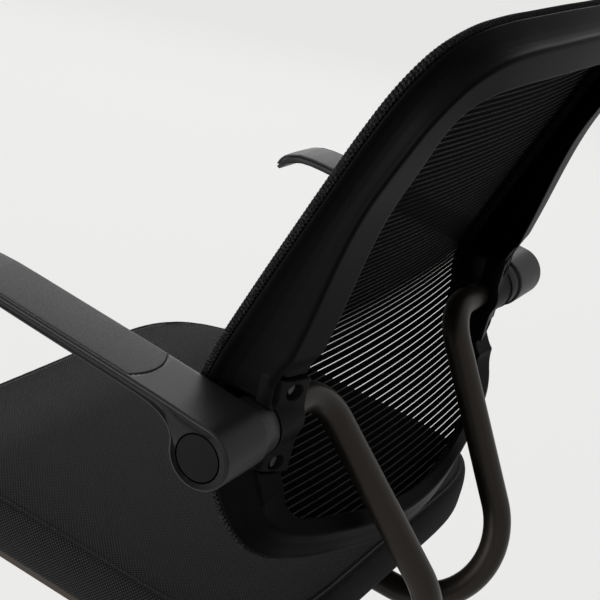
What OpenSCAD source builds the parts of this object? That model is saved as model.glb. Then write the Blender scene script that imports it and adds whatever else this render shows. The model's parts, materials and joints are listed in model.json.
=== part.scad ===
// Conference chair with a ribbed mesh back on bent tubes and flip-up arms.
// Origin: floor level on the column axis. +Z up, the sitter faces -Y.

/* [Overall] */
// top of the cushion above the floor, column down
seat_height = 455; // [440:1:480]
// arm pivot above the top of the cushion
pivot_rise = 173; // [165:1:185]
// arm pivot behind the column axis
pivot_back = 158; // [152:1:164]

/* [Seat] */
// widest width of the cushion
seat_width = 482; // [460:1:496]
// front edge of the cushion ahead of the column axis
seat_front = 220; // [208:1:236]
// rear edge of the cushion behind the column axis
seat_rear = 220; // [208:1:224]
// height of the cushion from its base to its crown
cushion_height = 60; // [54:1:64]
// thickness of the seat board
board_thickness = 10; // [8:1:12]

/* [Back] */
// width of the back frame over its lips
back_width = 474; // [466:1:476]
// top edge of the frame above the arm pivot
back_top = 338; // [310:1:360]
// bottom edge of the frame below the arm pivot
back_drop = 154; // [148:1:160]
// front lip of the frame ahead of the pivot, at pivot height
lip_lead = 50; // [48:1:54]
// depth of the channel section just above the pivot
section_depth = 62; // [60:1:63]
// depth of the channel section at the top edge
section_top_depth = 39; // [36:1:44]
// depth of the channel section at the bottom edge
section_foot_depth = 28; // [26:0.5:28.5]
// width from the lip to the opening, at the sides
flange_width = 47; // [45:1:48]
// how far the middle of the back lies behind its sides
back_hollow = 14; // [8:1:20]
// thickness of the mesh
mesh_thickness = 1.6; // [1.2:0.1:2]

/* [Arms] */
// gap between the frame and the arm blade
arm_gap = 5; // [4:0.5:8]
// width of the arm blade
arm_width = 56; // [52:1:57]
// reach of the arm ahead of its pivot
arm_reach = 294; // [280:1:300]
// radius of the arm hub
hub_radius = 26; // [25:0.5:27]
// radius of the round cover on the pivot
cap_radius = 18.8; // [17:0.1:20]
// top of the blade above the pivot at its highest point
arm_crest = 45; // [42:1:48]

/* [Tubes] */
// outer radius of the bent tubes
tube_radius = 13.1; // [12.5:0.1:13.4]
// wall of the bent tubes
tube_wall = 2; // [1.5:0.1:2.5]
// bend radius under the bracket
tube_top_bend = 42; // [38:1:46]
// bend radius behind the seat
tube_low_bend = 76; // [72:1:80]
// lower runs of the tubes, from the middle plane to the tube axis
tube_low_half = 48; // [47:1:50]

/* [Base] */
// castor pins, from the column axis
base_radius = 284; // [270:1:310]
// radius of the castor wheels
wheel_radius = 27; // [25:0.5:29]
// width of one castor wheel
wheel_width = 19; // [17:0.5:21]
// radius of the outer tube of the column
column_radius = 25; // [24:0.5:26]
// radius of the sliding column
rod_radius = 14; // [13.5:0.1:14.5]

/* [Hidden] */
$fn = 64;
fit_gap = 0.05;
seat_gap = 0.3;
run_gap = 1.5;
overrun = 2;
pivot_z = seat_height + pivot_rise;
sides = [1, -1];

// vector helpers
function unit_of(v) = v / norm(v);
function lerp(a, b, t) = a + (b - a) * t;
function clamp01(t) = min(1, max(0, t));
function smooth(t) = let (c = clamp01(t)) c * c * (3 - 2 * c);
function turn_of(e1, e2, e3) = [atan2(e2[2], e3[2]), -asin(e1[2]), atan2(e1[1], e1[0])];

// skin over a list of rings, each ring a list of points
function skin_points(rings) = [for (r = rings) each r];
function band_faces(rings_count, n, wrap) = [
  for (i = [0 : rings_count - (wrap ? 1 : 2)])
    for (j = [0 : n - 1])
      let (a = i * n + j, b = i * n + (j + 1) % n)
      let (c = ((i + 1) % rings_count) * n + (j + 1) % n, d = ((i + 1) % rings_count) * n + j)
      each [[a, b, c], [a, c, d]]];

module closed_skin(rings) {
  polyhedron(skin_points(rings), band_faces(len(rings), len(rings[0]), true));
}

module capped_skin(rings) {
  n = len(rings[0]);
  m = len(rings);
  low = [for (j = [n - 1 : -1 : 0]) j];
  high = [for (j = [0 : n - 1]) (m - 1) * n + j];
  polyhedron(skin_points(rings), concat([low], band_faces(m, n, false), [high]));
}

module along_x(x, y, z, r, h) {
  translate([x, y, z]) rotate([0, 90, 0]) cylinder(r = r, h = h);
}

// side view of the back: front lip line, measured from the pivot
upper_slope_share = 0.38;
lower_slope_share = 0.72;
knee_share = 0.09;
knee = knee_share * back_top;
function lean(z) =
  z * (upper_slope_share - lower_slope_share) / 2
  + (sqrt(z * z + knee * knee) - knee) * (upper_slope_share + lower_slope_share) / 2;
function lean_slope(z) =
  (upper_slope_share - lower_slope_share) / 2
  + z / sqrt(z * z + knee * knee) * (upper_slope_share + lower_slope_share) / 2;
back_half = back_width / 2;
function hollow(x) = back_hollow * (1 - pow(x / back_half, 2));
function lip_at(x, z) = [x, pivot_back - lip_lead + lean(z) + hollow(x), pivot_z + z];
// the section points straight back beside the pivot and square to the lip further away
level_half = 48;
level_ease = 52;
function rearward(z) = unit_of([0, 1, -lean_slope(z) * smooth((abs(z) - level_half) / level_ease)]);

// half outline of the lip, top middle to bottom middle, as shares of half width and height
outline_shares = [[0, 1], [0.2, 1], [0.42, 0.997], [0.62, 0.992], [0.78, 0.978], [0.9, 0.945],
  [0.965, 0.89], [0.988, 0.82], [0.994, 0.72], [0.996, 0.6], [0.998, 0.49]];
foot_shares = [[1.006, 0.17], [0.996, 0.135], [0.96, 0.102], [0.885, 0.076], [0.76, 0.054],
  [0.58, 0.034], [0.38, 0.016], [0.19, 0.004], [0, 0]];
pocket_half = 46;
pocket_ramp = 3;
side_steps_shares = [1.5, 1.07, 1, 0.6, 0.2, -0.1, -0.4348, -1, -1.07, -1.25];
back_height = back_top + back_drop;
function lip_share(s) = [s[0] * back_half, s[1] * back_height - back_drop];
right_lip = concat(
  [for (s = outline_shares) lip_share(s)],
  [for (s = side_steps_shares) [back_half, s * pocket_half]],
  [for (s = foot_shares) lip_share(s)]);
count_lip = len(right_lip);
lip_path = concat(
  right_lip,
  [for (i = [count_lip - 2 : -1 : 1]) [-right_lip[i][0], right_lip[i][1]]]);
lip_count = len(lip_path);

// the pocket floor is flat and slopes back below its knee; the bracket stands on it
pocket_floor = 27;
pocket_knee = 20;
pocket_slope_share = 0.75;
function floor_at(z) = -pocket_floor + pocket_slope_share * max(0, -pocket_knee - z);
function in_pocket(x, z) =
  (1 - smooth((abs(z) - pocket_half) / pocket_ramp)) * smooth((abs(x) - back_half / 2) / pocket_half);

// full depth: deep above the pocket, shallow in the foot
depth_turn = 60;
depth_run = 160;
section_side_depth = 41;
foot_run = 62;
function full_depth(z) = z > 0
  ? lerp(section_depth, section_top_depth, smooth((z - depth_turn) / depth_run))
  : lerp(section_side_depth, section_foot_depth, smooth((-z - pocket_half) / foot_run));
function depth_at(x, z) =
  lerp(full_depth(z), floor_at(z) + lip_lead - lean(z) - hollow(x), in_pocket(x, z));

// width from the lip to the opening
flange_top_width = 34;
flange_top_start = 220;
flange_top_run = 80;
flange_side_width = 51;
flange_foot_width = 31;
flange_foot_start = 88;
flange_foot_run = 42;
function foot_at(z) = smooth((pocket_half / 2 - z) / pocket_half);
function flange_at(z) =
  lerp(lerp(flange_width, flange_top_width, smooth((z - flange_top_start) / flange_top_run)),
    lerp(flange_side_width, flange_foot_width, smooth((-z - flange_foot_start) / flange_foot_run)),
    foot_at(z));

// channel section: [share of the wall reach, share of the flange, share of the depth, the same in the pocket]
wall_reach = 36;
side_section_shares = [[0, 0, 0, 0], [0, 0, 0.06, 0.1], [0.13, 0, 0.17, 0.25], [0.21, 0, 0.32, 0.45],
  [0.22, 0, 0.5, 0.6], [0.19, 0, 0.68, 0.75], [0.15, 0, 0.8, 0.88], [0.15, 0, 0.86, 0.96], [0.2, 0, 0.9, 1],
  [0, 0.97, 1, 1], [0, 1, 0.97, 0.9], [0, 0.97, 0.94, 0.8], [0.42, 0, 0.84, 0.8], [0.36, 0, 0.72, 0.7],
  [0.37, 0, 0.52, 0.55], [0.34, 0, 0.36, 0.4], [0.27, 0, 0.16, 0.2], [0.2, 0, 0, 0]];
foot_section_shares = [[0, 0, 0, 0], [0, 0, 0.07, 0.1], [0.08, 0, 0.2, 0.25], [0.18, 0, 0.4, 0.45],
  [0.3, 0, 0.62, 0.6], [0.39, 0, 0.82, 0.75], [0.44, 0, 0.93, 0.88], [0.49, 0, 0.985, 0.96], [0.54, 0, 1, 1],
  [0, 0.97, 1, 1], [0, 1, 0.93, 0.9], [0, 0.97, 0.87, 0.8], [0.62, 0, 0.86, 0.8], [0.55, 0, 0.78, 0.7],
  [0.45, 0, 0.6, 0.55], [0.36, 0, 0.42, 0.4], [0.3, 0, 0.22, 0.2], [0.25, 0, 0, 0]];
trim_radius = 4;
trim_bed = 8;
trim_ahead = trim_bed - trim_radius - seat_gap;

function lip_tangent(i) =
  let (a = lip_path[(i + lip_count - 1) % lip_count], b = lip_path[(i + 1) % lip_count])
  unit_of(lip_at(b[0], b[1]) - lip_at(a[0], a[1]));
function lip_out(i) =
  let (t = lip_tangent(i), r = rearward(lip_path[i][1]))
  unit_of(cross(t, r));
// in the bottom corners the flange points lean sideways, so that they don't cross
corner_pull = 0.6;
corner_start_share = 0.7;
corner_run_share = 0.2;
function flange_out(x, z, o) =
  let (pull = corner_pull * foot_at(z) * smooth((abs(x) / back_half - corner_start_share) / corner_run_share))
  unit_of(o + [sign(x) * pull, 0, 0]);
function frame_ring(i) =
  let (p = lip_path[i], o = lip_out(i), r = rearward(p[1]), e = flange_out(p[0], p[1], o))
  let (base = lip_at(p[0], p[1]), d = depth_at(p[0], p[1]), f = flange_at(p[1]))
  let (w = in_pocket(p[0], p[1]), foot = foot_at(p[1]))
  [for (k = [0 : len(side_section_shares) - 1])
    let (s = lerp(side_section_shares[k], foot_section_shares[k], foot))
    let (deep = lerp(s[2], s[3], w))
    base - o * s[0] * wall_reach - e * s[1] * f + r * lerp(trim_bed, d, deep)];

module back_frame() {
  color("#2b2b2d")
    closed_skin([for (i = [0 : lip_count - 1]) frame_ring(i)]);
}

// knitted edge of the mesh, lying in front of the frame lip
trim_sides = 8;
module mesh_trim() {
  color("#1c1c1e")
    closed_skin([for (i = [0 : lip_count - 1])
      let (p = lip_path[i], o = lip_out(i), r = rearward(p[1]))
      let (c = lip_at(p[0], p[1]) - o * trim_radius + r * trim_ahead)
      [for (k = [0 : trim_sides - 1])
        let (a = 360 * (k + 0.5) / trim_sides)
        c + o * trim_radius * cos(a) + r * trim_radius * sin(a)]]);
}

// mesh: a closed sheet inside the knitted edge
mesh_columns = 12;
mesh_inset = 2 * trim_radius + seat_gap;
function mesh_edge(i) = lip_at(lip_path[i][0], lip_path[i][1]) - lip_out(i) * mesh_inset;
function mesh_line(half, z, deep) =
  [for (j = [0 : mesh_columns])
    let (x = half * (2 * j / mesh_columns - 1))
    lip_at(x, z) + rearward(z) * deep];
module back_mesh() {
  rings = [for (i = [1 : count_lip - 2])
    let (e = mesh_edge(i), half = e[0], z = e[2] - pivot_z)
    let (front = mesh_line(half, z, trim_ahead - mesh_thickness / 2))
    let (rear = mesh_line(half, z, trim_ahead + mesh_thickness / 2))
    concat(front, [for (j = [mesh_columns : -1 : 0]) rear[j]])];
  color("#3a3a3c") capped_skin(rings);
}

// bracket: clamps the tube and carries the pivot, right half shown for the side given
bracket_inner = back_half - 50;
bracket_outer = back_half - 31;
sleeve_inner = bracket_inner - 22;
sleeve_radius = 16.6;
bracket_top = 45;
bracket_bottom = 45;
bracket_corner = 5;
boss_radius = 21.5;
ear_top_outer = back_half - 3;
ear_low_outer = back_half - 7;
ear_inner_half = 25.5;
screw_x = bracket_outer - 1;
screw_top = 32;
screw_bottom = 33;
screw_radius = 2.5;
screw_head_radius = 4.5;
screw_head_height = 3;
screw_pocket_radius = 6;
screw_floor = 11;
screw_length = 24;
pivot_bolt_radius = 5;
tube_end = bracket_outer - 6;
// rear face of the cover, flush with the flange above and below it
cover_inner_rear = 19;
cover_ridge_rear = 10.5;
cover_edge_rear = 6;
cover_ridge_inset = 4;
fold_radius = 3;
fold_x = bracket_outer + 13;
fold_rear = 15;

module rounded_plan(x0, x1, z0, z1, r) {
  union() {
    translate([x0 + r, z0]) square([x1 - x0 - 2 * r, z1 - z0]);
    translate([x0, z0 + r]) square([x1 - x0, z1 - z0 - 2 * r]);
    for (p = [[x0 + r, z0 + r], [x1 - r, z0 + r], [x0 + r, z1 - r], [x1 - r, z1 - r]])
      translate(p) circle(r = r);
  }
}

module slab_y(y0, y1) {
  translate([0, y1, 0]) rotate([90, 0, 0]) linear_extrude(height = y1 - y0) children();
}

// outline seen from behind, with an ear above and below the arm neck
module bracket_plan() {
  ear_start = bracket_outer - bracket_corner * 3;
  union() {
    rounded_plan(bracket_inner, bracket_outer, -bracket_bottom, bracket_top, bracket_corner);
    rounded_plan(ear_start, ear_top_outer, ear_inner_half, bracket_top, bracket_corner);
    rounded_plan(ear_start, ear_low_outer, -bracket_bottom, -ear_inner_half, bracket_corner);
  }
}
module bores_of_bracket() {
  along_x(sleeve_inner - overrun, 0, 0, tube_radius + fit_gap, tube_end - sleeve_inner + overrun);
  along_x(bracket_inner, 0, 0, pivot_bolt_radius + fit_gap, bracket_outer - bracket_inner + overrun);
}
module bracket_half() {
  translate([0, pivot_back, pivot_z])
    difference() {
      union() {
        slab_y(-pocket_floor + seat_gap, -seat_gap / 2) bracket_plan();
        intersection() {
          along_x(sleeve_inner, 0, 0, sleeve_radius, bracket_inner - sleeve_inner + overrun);
          slab_y(-sleeve_radius - overrun, -seat_gap / 2)
            translate([sleeve_inner, -sleeve_radius]) square([bracket_outer - sleeve_inner,
              2 * sleeve_radius]);
        }
      }
      translate([sleeve_inner - overrun, 0, 0]) rotate([90, 0, 90])
        linear_extrude(height = ear_top_outer)
          polygon([[-pocket_floor - overrun, -pocket_knee], [-pocket_floor + seat_gap, -pocket_knee],
            [floor_at(-pocket_half * 2) + seat_gap, -pocket_half * 2], [-pocket_floor - overrun,
              -pocket_half * 2]]);
      bores_of_bracket();
      for (z = [screw_top, -screw_bottom])
        translate([screw_x, screw_floor - screw_length, z])
          rotate([-90, 0, 0]) cylinder(r = screw_radius + fit_gap, h = screw_length);
    }
}

// rear face in plan: slopes forward from the opening to the ridge
module cover_plan() {
  polygon([[bracket_inner, seat_gap / 2], [ear_top_outer, seat_gap / 2], [ear_top_outer, cover_edge_rear],
    [ear_top_outer - cover_ridge_inset, cover_ridge_rear], [bracket_inner, cover_inner_rear]]);
}
module cover_half() {
  translate([0, pivot_back, pivot_z])
    difference() {
      union() {
        intersection() {
          slab_y(seat_gap / 2, cover_inner_rear + overrun) bracket_plan();
          translate([0, 0,
            -bracket_bottom]) linear_extrude(height = bracket_bottom + bracket_top) cover_plan();
        }
        intersection() {
          along_x(bracket_inner, 0, 0, boss_radius, bracket_outer - bracket_inner);
          slab_y(seat_gap / 2, boss_radius + overrun)
            translate([bracket_inner, -boss_radius]) square([bracket_outer - bracket_inner, 2 * boss_radius]);
        }
      }
      bores_of_bracket();
      translate([fold_x, fold_rear, -bracket_bottom - overrun])
        cylinder(r = fold_radius, h = bracket_bottom + bracket_top + 2 * overrun);
      for (z = [screw_top, -screw_bottom])
        translate([screw_x, 0, z]) rotate([-90, 0, 0]) {
          cylinder(r = screw_radius + fit_gap, h = screw_floor + overrun);
          translate([0, 0, screw_floor]) cylinder(r = screw_pocket_radius, h = cover_inner_rear);
        }
    }
}

module screw_half() {
  for (z = [screw_top, -screw_bottom])
    translate([screw_x, pivot_back + screw_floor + fit_gap, pivot_z + z]) {
      rotate([-90, 0, 0]) cylinder(r = screw_head_radius, h = screw_head_height);
      rotate([90, 0, 0]) cylinder(r = screw_radius, h = screw_length - 2 * fit_gap);
    }
}

module on_side(s) {
  if (s > 0) children();
  else mirror([1, 0, 0]) children();
}

module bracket_left() { color("#242426") bracket_half(); }
module bracket_right() { color("#242426") on_side(-1) bracket_half(); }
module bracket_cover_left() { color("#303033") cover_half(); }
module bracket_cover_right() { color("#303033") on_side(-1) cover_half(); }
module bracket_screws() { color("#8a8a8c") for (s = sides) on_side(s) screw_half(); }

// bent tube: in along the pivot axis, down and back, then forward under the seat
tube_knee_x = bracket_inner - 62;
tube_heel_back = 206;
tube_heel_drop = 261;
tube_front = 80;
tube_a = [tube_end, pivot_back, pivot_z];
tube_b = [tube_knee_x, pivot_back, pivot_z];
tube_c = [tube_low_half, pivot_back + tube_heel_back, pivot_z - tube_heel_drop];
tube_d = [tube_low_half, -tube_front, pivot_z - tube_heel_drop];

// the straights reach a little way into the bends and are a hair thicker than them
tube_lap = 0.6;
module tube_straight(from, to, r, start_lap, end_lap) {
  w = unit_of(to - from);
  across = abs(w[0]) > 0.9 ? [0, 0, 1] : [1, 0, 0];
  u = unit_of(across - w * (across * w));
  translate(from - w * start_lap) rotate(turn_of(u, cross(w, u), w))
    cylinder(r = r, h = norm(to - from) + start_lap + end_lap);
}
module tube_bend(p, from, to, bend, r) {
  u = unit_of(from - p);
  v = unit_of(to - p);
  angle = acos(u * v);
  reach = bend / tan(angle / 2);
  c = p + unit_of(u + v) * norm([bend, reach]);
  s = unit_of(p + u * reach - c);
  w = unit_of(cross(s, -u));
  translate(c) rotate(turn_of(s, cross(w, s), w))
    rotate_extrude(angle = 180 - angle) translate([bend, 0]) circle(r = r);
}
function bend_reach(p, from, to, bend) = bend / tan(acos(unit_of(from - p) * unit_of(to - p)) / 2);
function bend_start(p, from, to, bend) = p + unit_of(from - p) * bend_reach(p, from, to, bend);
function bend_end(p, from, to, bend) = p + unit_of(to - p) * bend_reach(p, from, to, bend);

module tube_run(r, past) {
  top_start = bend_start(tube_b, tube_a, tube_c, tube_top_bend);
  top_end = bend_end(tube_b, tube_a, tube_c, tube_top_bend);
  low_start = bend_start(tube_c, tube_b, tube_d, tube_low_bend);
  low_end = bend_end(tube_c, tube_b, tube_d, tube_low_bend);
  union() {
    tube_straight(tube_a, top_start, r + fit_gap / 2, past, tube_lap);
    tube_bend(tube_b, tube_a, tube_c, tube_top_bend, r);
    tube_straight(top_end, low_start, r + fit_gap / 2, tube_lap, tube_lap);
    tube_bend(tube_c, tube_b, tube_d, tube_low_bend, r);
    tube_straight(low_end, tube_d, r + fit_gap / 2, tube_lap, past);
  }
}
module tube_half() {
  difference() {
    tube_run(tube_radius - fit_gap / 2, 0);
    tube_run(tube_radius - tube_wall, overrun);
  }
}
module tube_left() { color("#3b3733") tube_half(); }
module tube_right() { color("#3b3733") on_side(-1) tube_half(); }

// arm: blade lofted from top and bottom lines, as shares of reach and crest height
arm_inner = back_half + arm_gap;
arm_outer = arm_inner + arm_width;
arm_reach_x = 2 * arm_outer;
pad_sink = 2.2;
pad_edge = 3;
pad_bow = 10;
// [top y, top z, bottom y, bottom z, bow, sunk, narrowing]
arm_line_shares = [
  [0.02, 0.575, 0.05, -0.27, 0, 0, 0], [0.048, 0.6, 0.075, -0.13, 0, 0, 0],
  [0.075, 0.622, 0.092, 0.07, 0, 0, 0], [0.102, 0.645, 0.106, 0.24, 0, 0, 0],
  [0.129, 0.662, 0.127, 0.36, 0, 0, 0], [0.163, 0.682, 0.16, 0.44, 0.5, 0, 0],
  [0.223, 0.716, 0.223, 0.5, 1, 0, 0], [0.225, 0.717, 0.225, 0.502, 1, 1, 0],
  [0.306, 0.76, 0.306, 0.547, 0.5, 1, 0], [0.442, 0.828, 0.442, 0.614, 0, 1, 0],
  [0.578, 0.897, 0.578, 0.685, 0, 1, 0], [0.697, 0.957, 0.697, 0.75, 0, 1, 0],
  [0.782, 0.995, 0.778, 0.792, 0, 1, 0], [0.84, 1, 0.833, 0.8, 0, 1, 0],
  [0.888, 0.968, 0.873, 0.778, 0, 1, 0], [0.929, 0.88, 0.905, 0.711, 0, 1, 0],
  [0.963, 0.742, 0.934, 0.6, 0, 1, 0.05], [0.986, 0.578, 0.956, 0.478, 0, 1, 0.12],
  [1, 0.43, 0.975, 0.37, 0, 1, 0.26]];
// rounded section: [share across, share down]
blade_corner = 2.2;
function blade_ring(k) =
  let (q = arm_line_shares[k])
  let (t = [-q[0] * arm_reach, q[1] * arm_crest], b = [-q[2] * arm_reach, q[3] * arm_crest])
  let (d = unit_of(b - t), h = norm(b - t), x0 = arm_inner + q[6] * arm_width,
    x1 = arm_outer - q[6] * arm_width)
  let (s = q[5] * pad_sink, c = blade_corner, g = c * corner_share)
  let (mid = (x0 + x1) / 2, half = (x1 - x0) / 2)
  [for (m = [[x0, s + c], [x0 + g, s + g], [x0 + c, s], [mid - half / 2, s], [mid, s], [mid + half / 2, s],
    [x1 - c, s], [x1 - g, s + g], [x1, s + c], [x1, h - c], [x1 - g, h - g], [x1 - c, h],
    [mid + half / 2, h], [mid, h], [mid - half / 2, h], [x0 + c, h], [x0 + g, h - g], [x0, h - c]])
    let (bow = -q[4] * pad_bow * pow((m[0] - mid) / half, 2))
    [m[0], pivot_back + t[0] + d[0] * m[1] + bow, pivot_z + t[1] + d[1] * m[1]]];
corner_share = 0.293;
neck_radius = 23.5;
neck_start = bracket_outer + 1;
bush_radius = 8;
cap_depth = 4;
cap_gap = 0.3;
bolt_head_radius = 9;
bolt_head_height = 5;
arm_stations = len(arm_line_shares);

module arm_half() {
  difference() {
    union() {
      capped_skin([for (k = [0 : arm_stations - 1]) blade_ring(k)]);
      along_x(arm_inner, pivot_back, pivot_z, hub_radius, arm_width);
      along_x(neck_start, pivot_back, pivot_z, neck_radius, arm_inner - neck_start + overrun);
    }
    along_x(neck_start - overrun, pivot_back, pivot_z, bush_radius + fit_gap, arm_reach_x);
    along_x(arm_outer - cap_depth - bolt_head_height - overrun, pivot_back, pivot_z,
      bolt_head_radius + run_gap, arm_width);
    along_x(arm_outer - cap_depth, pivot_back, pivot_z, cap_radius + fit_gap, arm_width);
  }
}
module arm_left() { color("#353538") arm_half(); }
module arm_right() { color("#353538") on_side(-1) arm_half(); }

// pad: lies on the sunk top of the blade from the bowed step to the tip
pad_crown = 1;
pad_stations = [for (k = [0 : arm_stations - 1]) if (arm_line_shares[k][5] > 0) k];
pad_first = pad_stations[0];
pad_rear_share = 0.05;
function pad_station(k) =
  let (q = arm_line_shares[k], n = q[6] * arm_width)
  let (t = [-q[0] * arm_reach, q[1] * arm_crest], b = [-q[2] * arm_reach, q[3] * arm_crest])
  let (d = unit_of(b - t), left = arm_inner + n, right = arm_outer - n)
  let (mid = (left + right) / 2, half = (right - left) / 2)
  let (x0 = left + pad_edge / 2, x1 = right - pad_edge, e = pad_edge)
  let (s = pad_sink - 3 * fit_gap, lift = k == pad_first ? 0 : pad_crown)
  [for (m = [[x0, s], [x0, s / 2], [x0 + e / 3, 0], [x0 + e, -lift / 2], [mid - half / 2, -lift], [mid,
    -lift],
    [mid + half / 2, -lift], [x1 - e, -lift / 2], [x1 - e / 3, 0], [x1, s / 2], [x1, s],
    [mid + half / 2, s], [mid, s], [mid - half / 2, s]])
    let (bow = -q[4] * pad_bow * pow((m[0] - mid) / half, 2))
    [m[0], pivot_back + t[0] + d[0] * m[1] + bow, pivot_z + t[1] + d[1] * m[1]]];
function pad_ring(k) = k > pad_first
  ? pad_station(k)
  : lerp(pad_station(k), pad_station(k + 1), pad_rear_share);
// both ends of the pad are closed strip by strip
pad_end_faces = [[0, 2, 1], [0, 3, 2], [0, 4, 3], [0, 13, 4], [13, 5, 4], [13, 12, 5], [12, 6, 5], [12,
  11, 6],
  [11, 7, 6], [11, 10, 7], [10, 8, 7], [10, 9, 8]];
module pad_half() {
  rings = [for (k = pad_stations) pad_ring(k)];
  n = len(rings[0]);
  m = len(rings);
  far = (m - 1) * n;
  tip = [for (f = pad_end_faces) [far + f[0], far + f[2], far + f[1]]];
  polyhedron(skin_points(rings), concat(pad_end_faces, band_faces(m, n, false), tip));
}
module arm_pad_left() { color("#4a4a4d") pad_half(); }
module arm_pad_right() { color("#4a4a4d") on_side(-1) pad_half(); }

// round cover with a slightly domed face
module cap_half() {
  translate([arm_outer - cap_depth + fit_gap, pivot_back, pivot_z]) rotate([0, 90, 0])
    rotate_extrude()
      polygon([[0, 0], [cap_radius, 0], [cap_radius, cap_depth - cap_gap * 3],
        [cap_radius - cap_gap * 3, cap_depth],
        [cap_radius / 2, cap_depth + cap_gap], [0, cap_depth + cap_gap * 1.3]]);
}
module hub_cap_left() { color("#3f3f42") cap_half(); }
module hub_cap_right() { color("#3f3f42") on_side(-1) cap_half(); }

module bush_half() {
  difference() {
    along_x(neck_start + fit_gap, pivot_back, pivot_z, bush_radius,
      arm_outer - neck_start - cap_depth - bolt_head_height - overrun - fit_gap);
    along_x(neck_start - overrun, pivot_back, pivot_z, pivot_bolt_radius + fit_gap, arm_reach_x);
  }
}
module pivot_bush_left() { color("#c9c3b4") bush_half(); }
module pivot_bush_right() { color("#c9c3b4") on_side(-1) bush_half(); }

module bolt_half() {
  along_x(tube_end + run_gap, pivot_back, pivot_z, pivot_bolt_radius,
    arm_outer - cap_depth - bolt_head_height - tube_end - run_gap + fit_gap);
  along_x(arm_outer - cap_depth - bolt_head_height - overrun + fit_gap, pivot_back, pivot_z,
    bolt_head_radius, bolt_head_height);
}
module pivot_bolt_left() { color("#9a9a9c") bolt_half(); }
module pivot_bolt_right() { color("#9a9a9c") on_side(-1) bolt_half(); }

// cushion: stacked outlines with a crown, a seam line and drawn-in sides
seat_half = seat_width / 2;
seat_middle = (seat_rear - seat_front) / 2;
seat_reach = (seat_rear + seat_front) / 2;
seat_corners = 48;
plan_power_share = 0.36;
function plan_x(a) = sign(cos(a)) * pow(abs(cos(a)), plan_power_share);
function plan_y(a) = sign(sin(a)) * pow(abs(sin(a)), plan_power_share);
function seat_angle(i) = 360 * (i + 0.5) / seat_corners;
// [inset, drop below the crown]
cushion_inset_shares = [[0.03, 1], [0.004, 0.955], [0, 0.8], [0, 0.45], [0.008, 0.2], [0.02, 0.13],
  [0.026, 0.11],
  [0.036, 0.075], [0.07, 0.035], [0.15, 0.012], [0.3, 0]];
front_fall = 12;
function seat_ring(s) =
  [for (i = [0 : seat_corners - 1])
    let (a = seat_angle(i), in = s[0] * seat_half)
    let (x = plan_x(a) * (seat_half - in), y = plan_y(a) * (seat_reach - in))
    let (fall = front_fall * smooth((-y / seat_reach - 0.45) / 0.5) * (1 - s[1]) * (s[0] < 0.2 ? 1 : 0))
    [x, seat_middle + y, seat_height - s[1] * cushion_height - fall]];
module seat_cushion() {
  color("#333336") capped_skin([for (s = cushion_inset_shares) seat_ring(s)]);
}

board_inset = 14;
board_top = seat_height - cushion_height - seat_gap;
board_bottom = board_top - board_thickness;
module seat_board() {
  color("#222224")
    difference() {
      translate([0, 0, board_bottom])
        linear_extrude(height = board_thickness)
          polygon([for (i = [0 : seat_corners - 1])
            let (a = seat_angle(i))
            [plan_x(a) * (seat_half - board_inset), seat_middle + plan_y(a) * (seat_reach - board_inset)]]);
      for (p = board_screw_places)
        translate([p[0], p[1], board_bottom - overrun])
          cylinder(r = board_screw_radius + fit_gap, h = board_screw_reach + overrun);
    }
}
board_screw_radius = 3;
board_screw_reach = 8;
board_screw_head = 6;
board_head_height = 4;
plate_half_x = 88;
plate_front = 78;
plate_rear = 92;
plate_screw_inset = 12;
board_screw_places = [for (x = [-1, 1]) for (y = [-plate_front + plate_screw_inset,
  plate_rear - plate_screw_inset])
  [x * (plate_half_x - plate_screw_inset), y]];

// carrier: plate over the tubes and a housing between them
tube_low_z = pivot_z - tube_heel_drop;
plate_bottom = tube_low_z + tube_radius + fit_gap;
plate_top = board_bottom;
housing_half = tube_low_half - tube_radius - run_gap;
housing_front = 62;
housing_rear = 62;
housing_height = 42;
socket_depth = 32;
housing_bottom = plate_bottom - housing_height;
clamp_length = 26;
clamp_front_y = -44;
clamp_rear_y = 58;
clamp_wall = 4;
clamp_screw_radius = 2.5;
clamp_screw_x = tube_low_half + tube_radius + clamp_wall + clamp_screw_radius + run_gap;
clamp_places = [clamp_front_y, clamp_rear_y];
lever_radius = 4;
lever_rise = 8;
lever_z = housing_bottom + lever_rise;
module seat_carrier() {
  color("#1f1f21")
    difference() {
      union() {
        translate([0, 0, plate_bottom]) linear_extrude(height = plate_top - plate_bottom)
          rounded_plan(-plate_half_x, plate_half_x, -plate_front, plate_rear, plate_screw_inset);
        translate([0, 0, housing_bottom]) linear_extrude(height = housing_height)
          rounded_plan(-housing_half, housing_half, -housing_front, housing_rear, plate_screw_inset);
      }
      translate([0, 0, housing_bottom - overrun])
        cylinder(r = rod_radius + fit_gap, h = socket_depth + overrun);
      for (p = board_screw_places)
        translate([p[0], p[1], plate_bottom - overrun])
          cylinder(r = board_screw_radius + fit_gap, h = plate_top);
      for (x = [-1, 1]) for (y = clamp_places)
        translate([x * clamp_screw_x, y, plate_bottom - overrun])
          cylinder(r = clamp_screw_radius + fit_gap, h = plate_top);
      along_x(-housing_half - overrun, 0, lever_z, lever_radius + run_gap, lever_pocket + overrun);
    }
}
lever_pocket = 14;

module seat_screws() {
  color("#8f8f91")
    for (p = board_screw_places) translate([p[0], p[1], plate_bottom]) {
      cylinder(r = board_screw_radius, h = plate_top - plate_bottom + board_screw_reach - fit_gap);
      translate([0, 0, -board_head_height]) cylinder(r = board_screw_head, h = board_head_height);
    }
}

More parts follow.
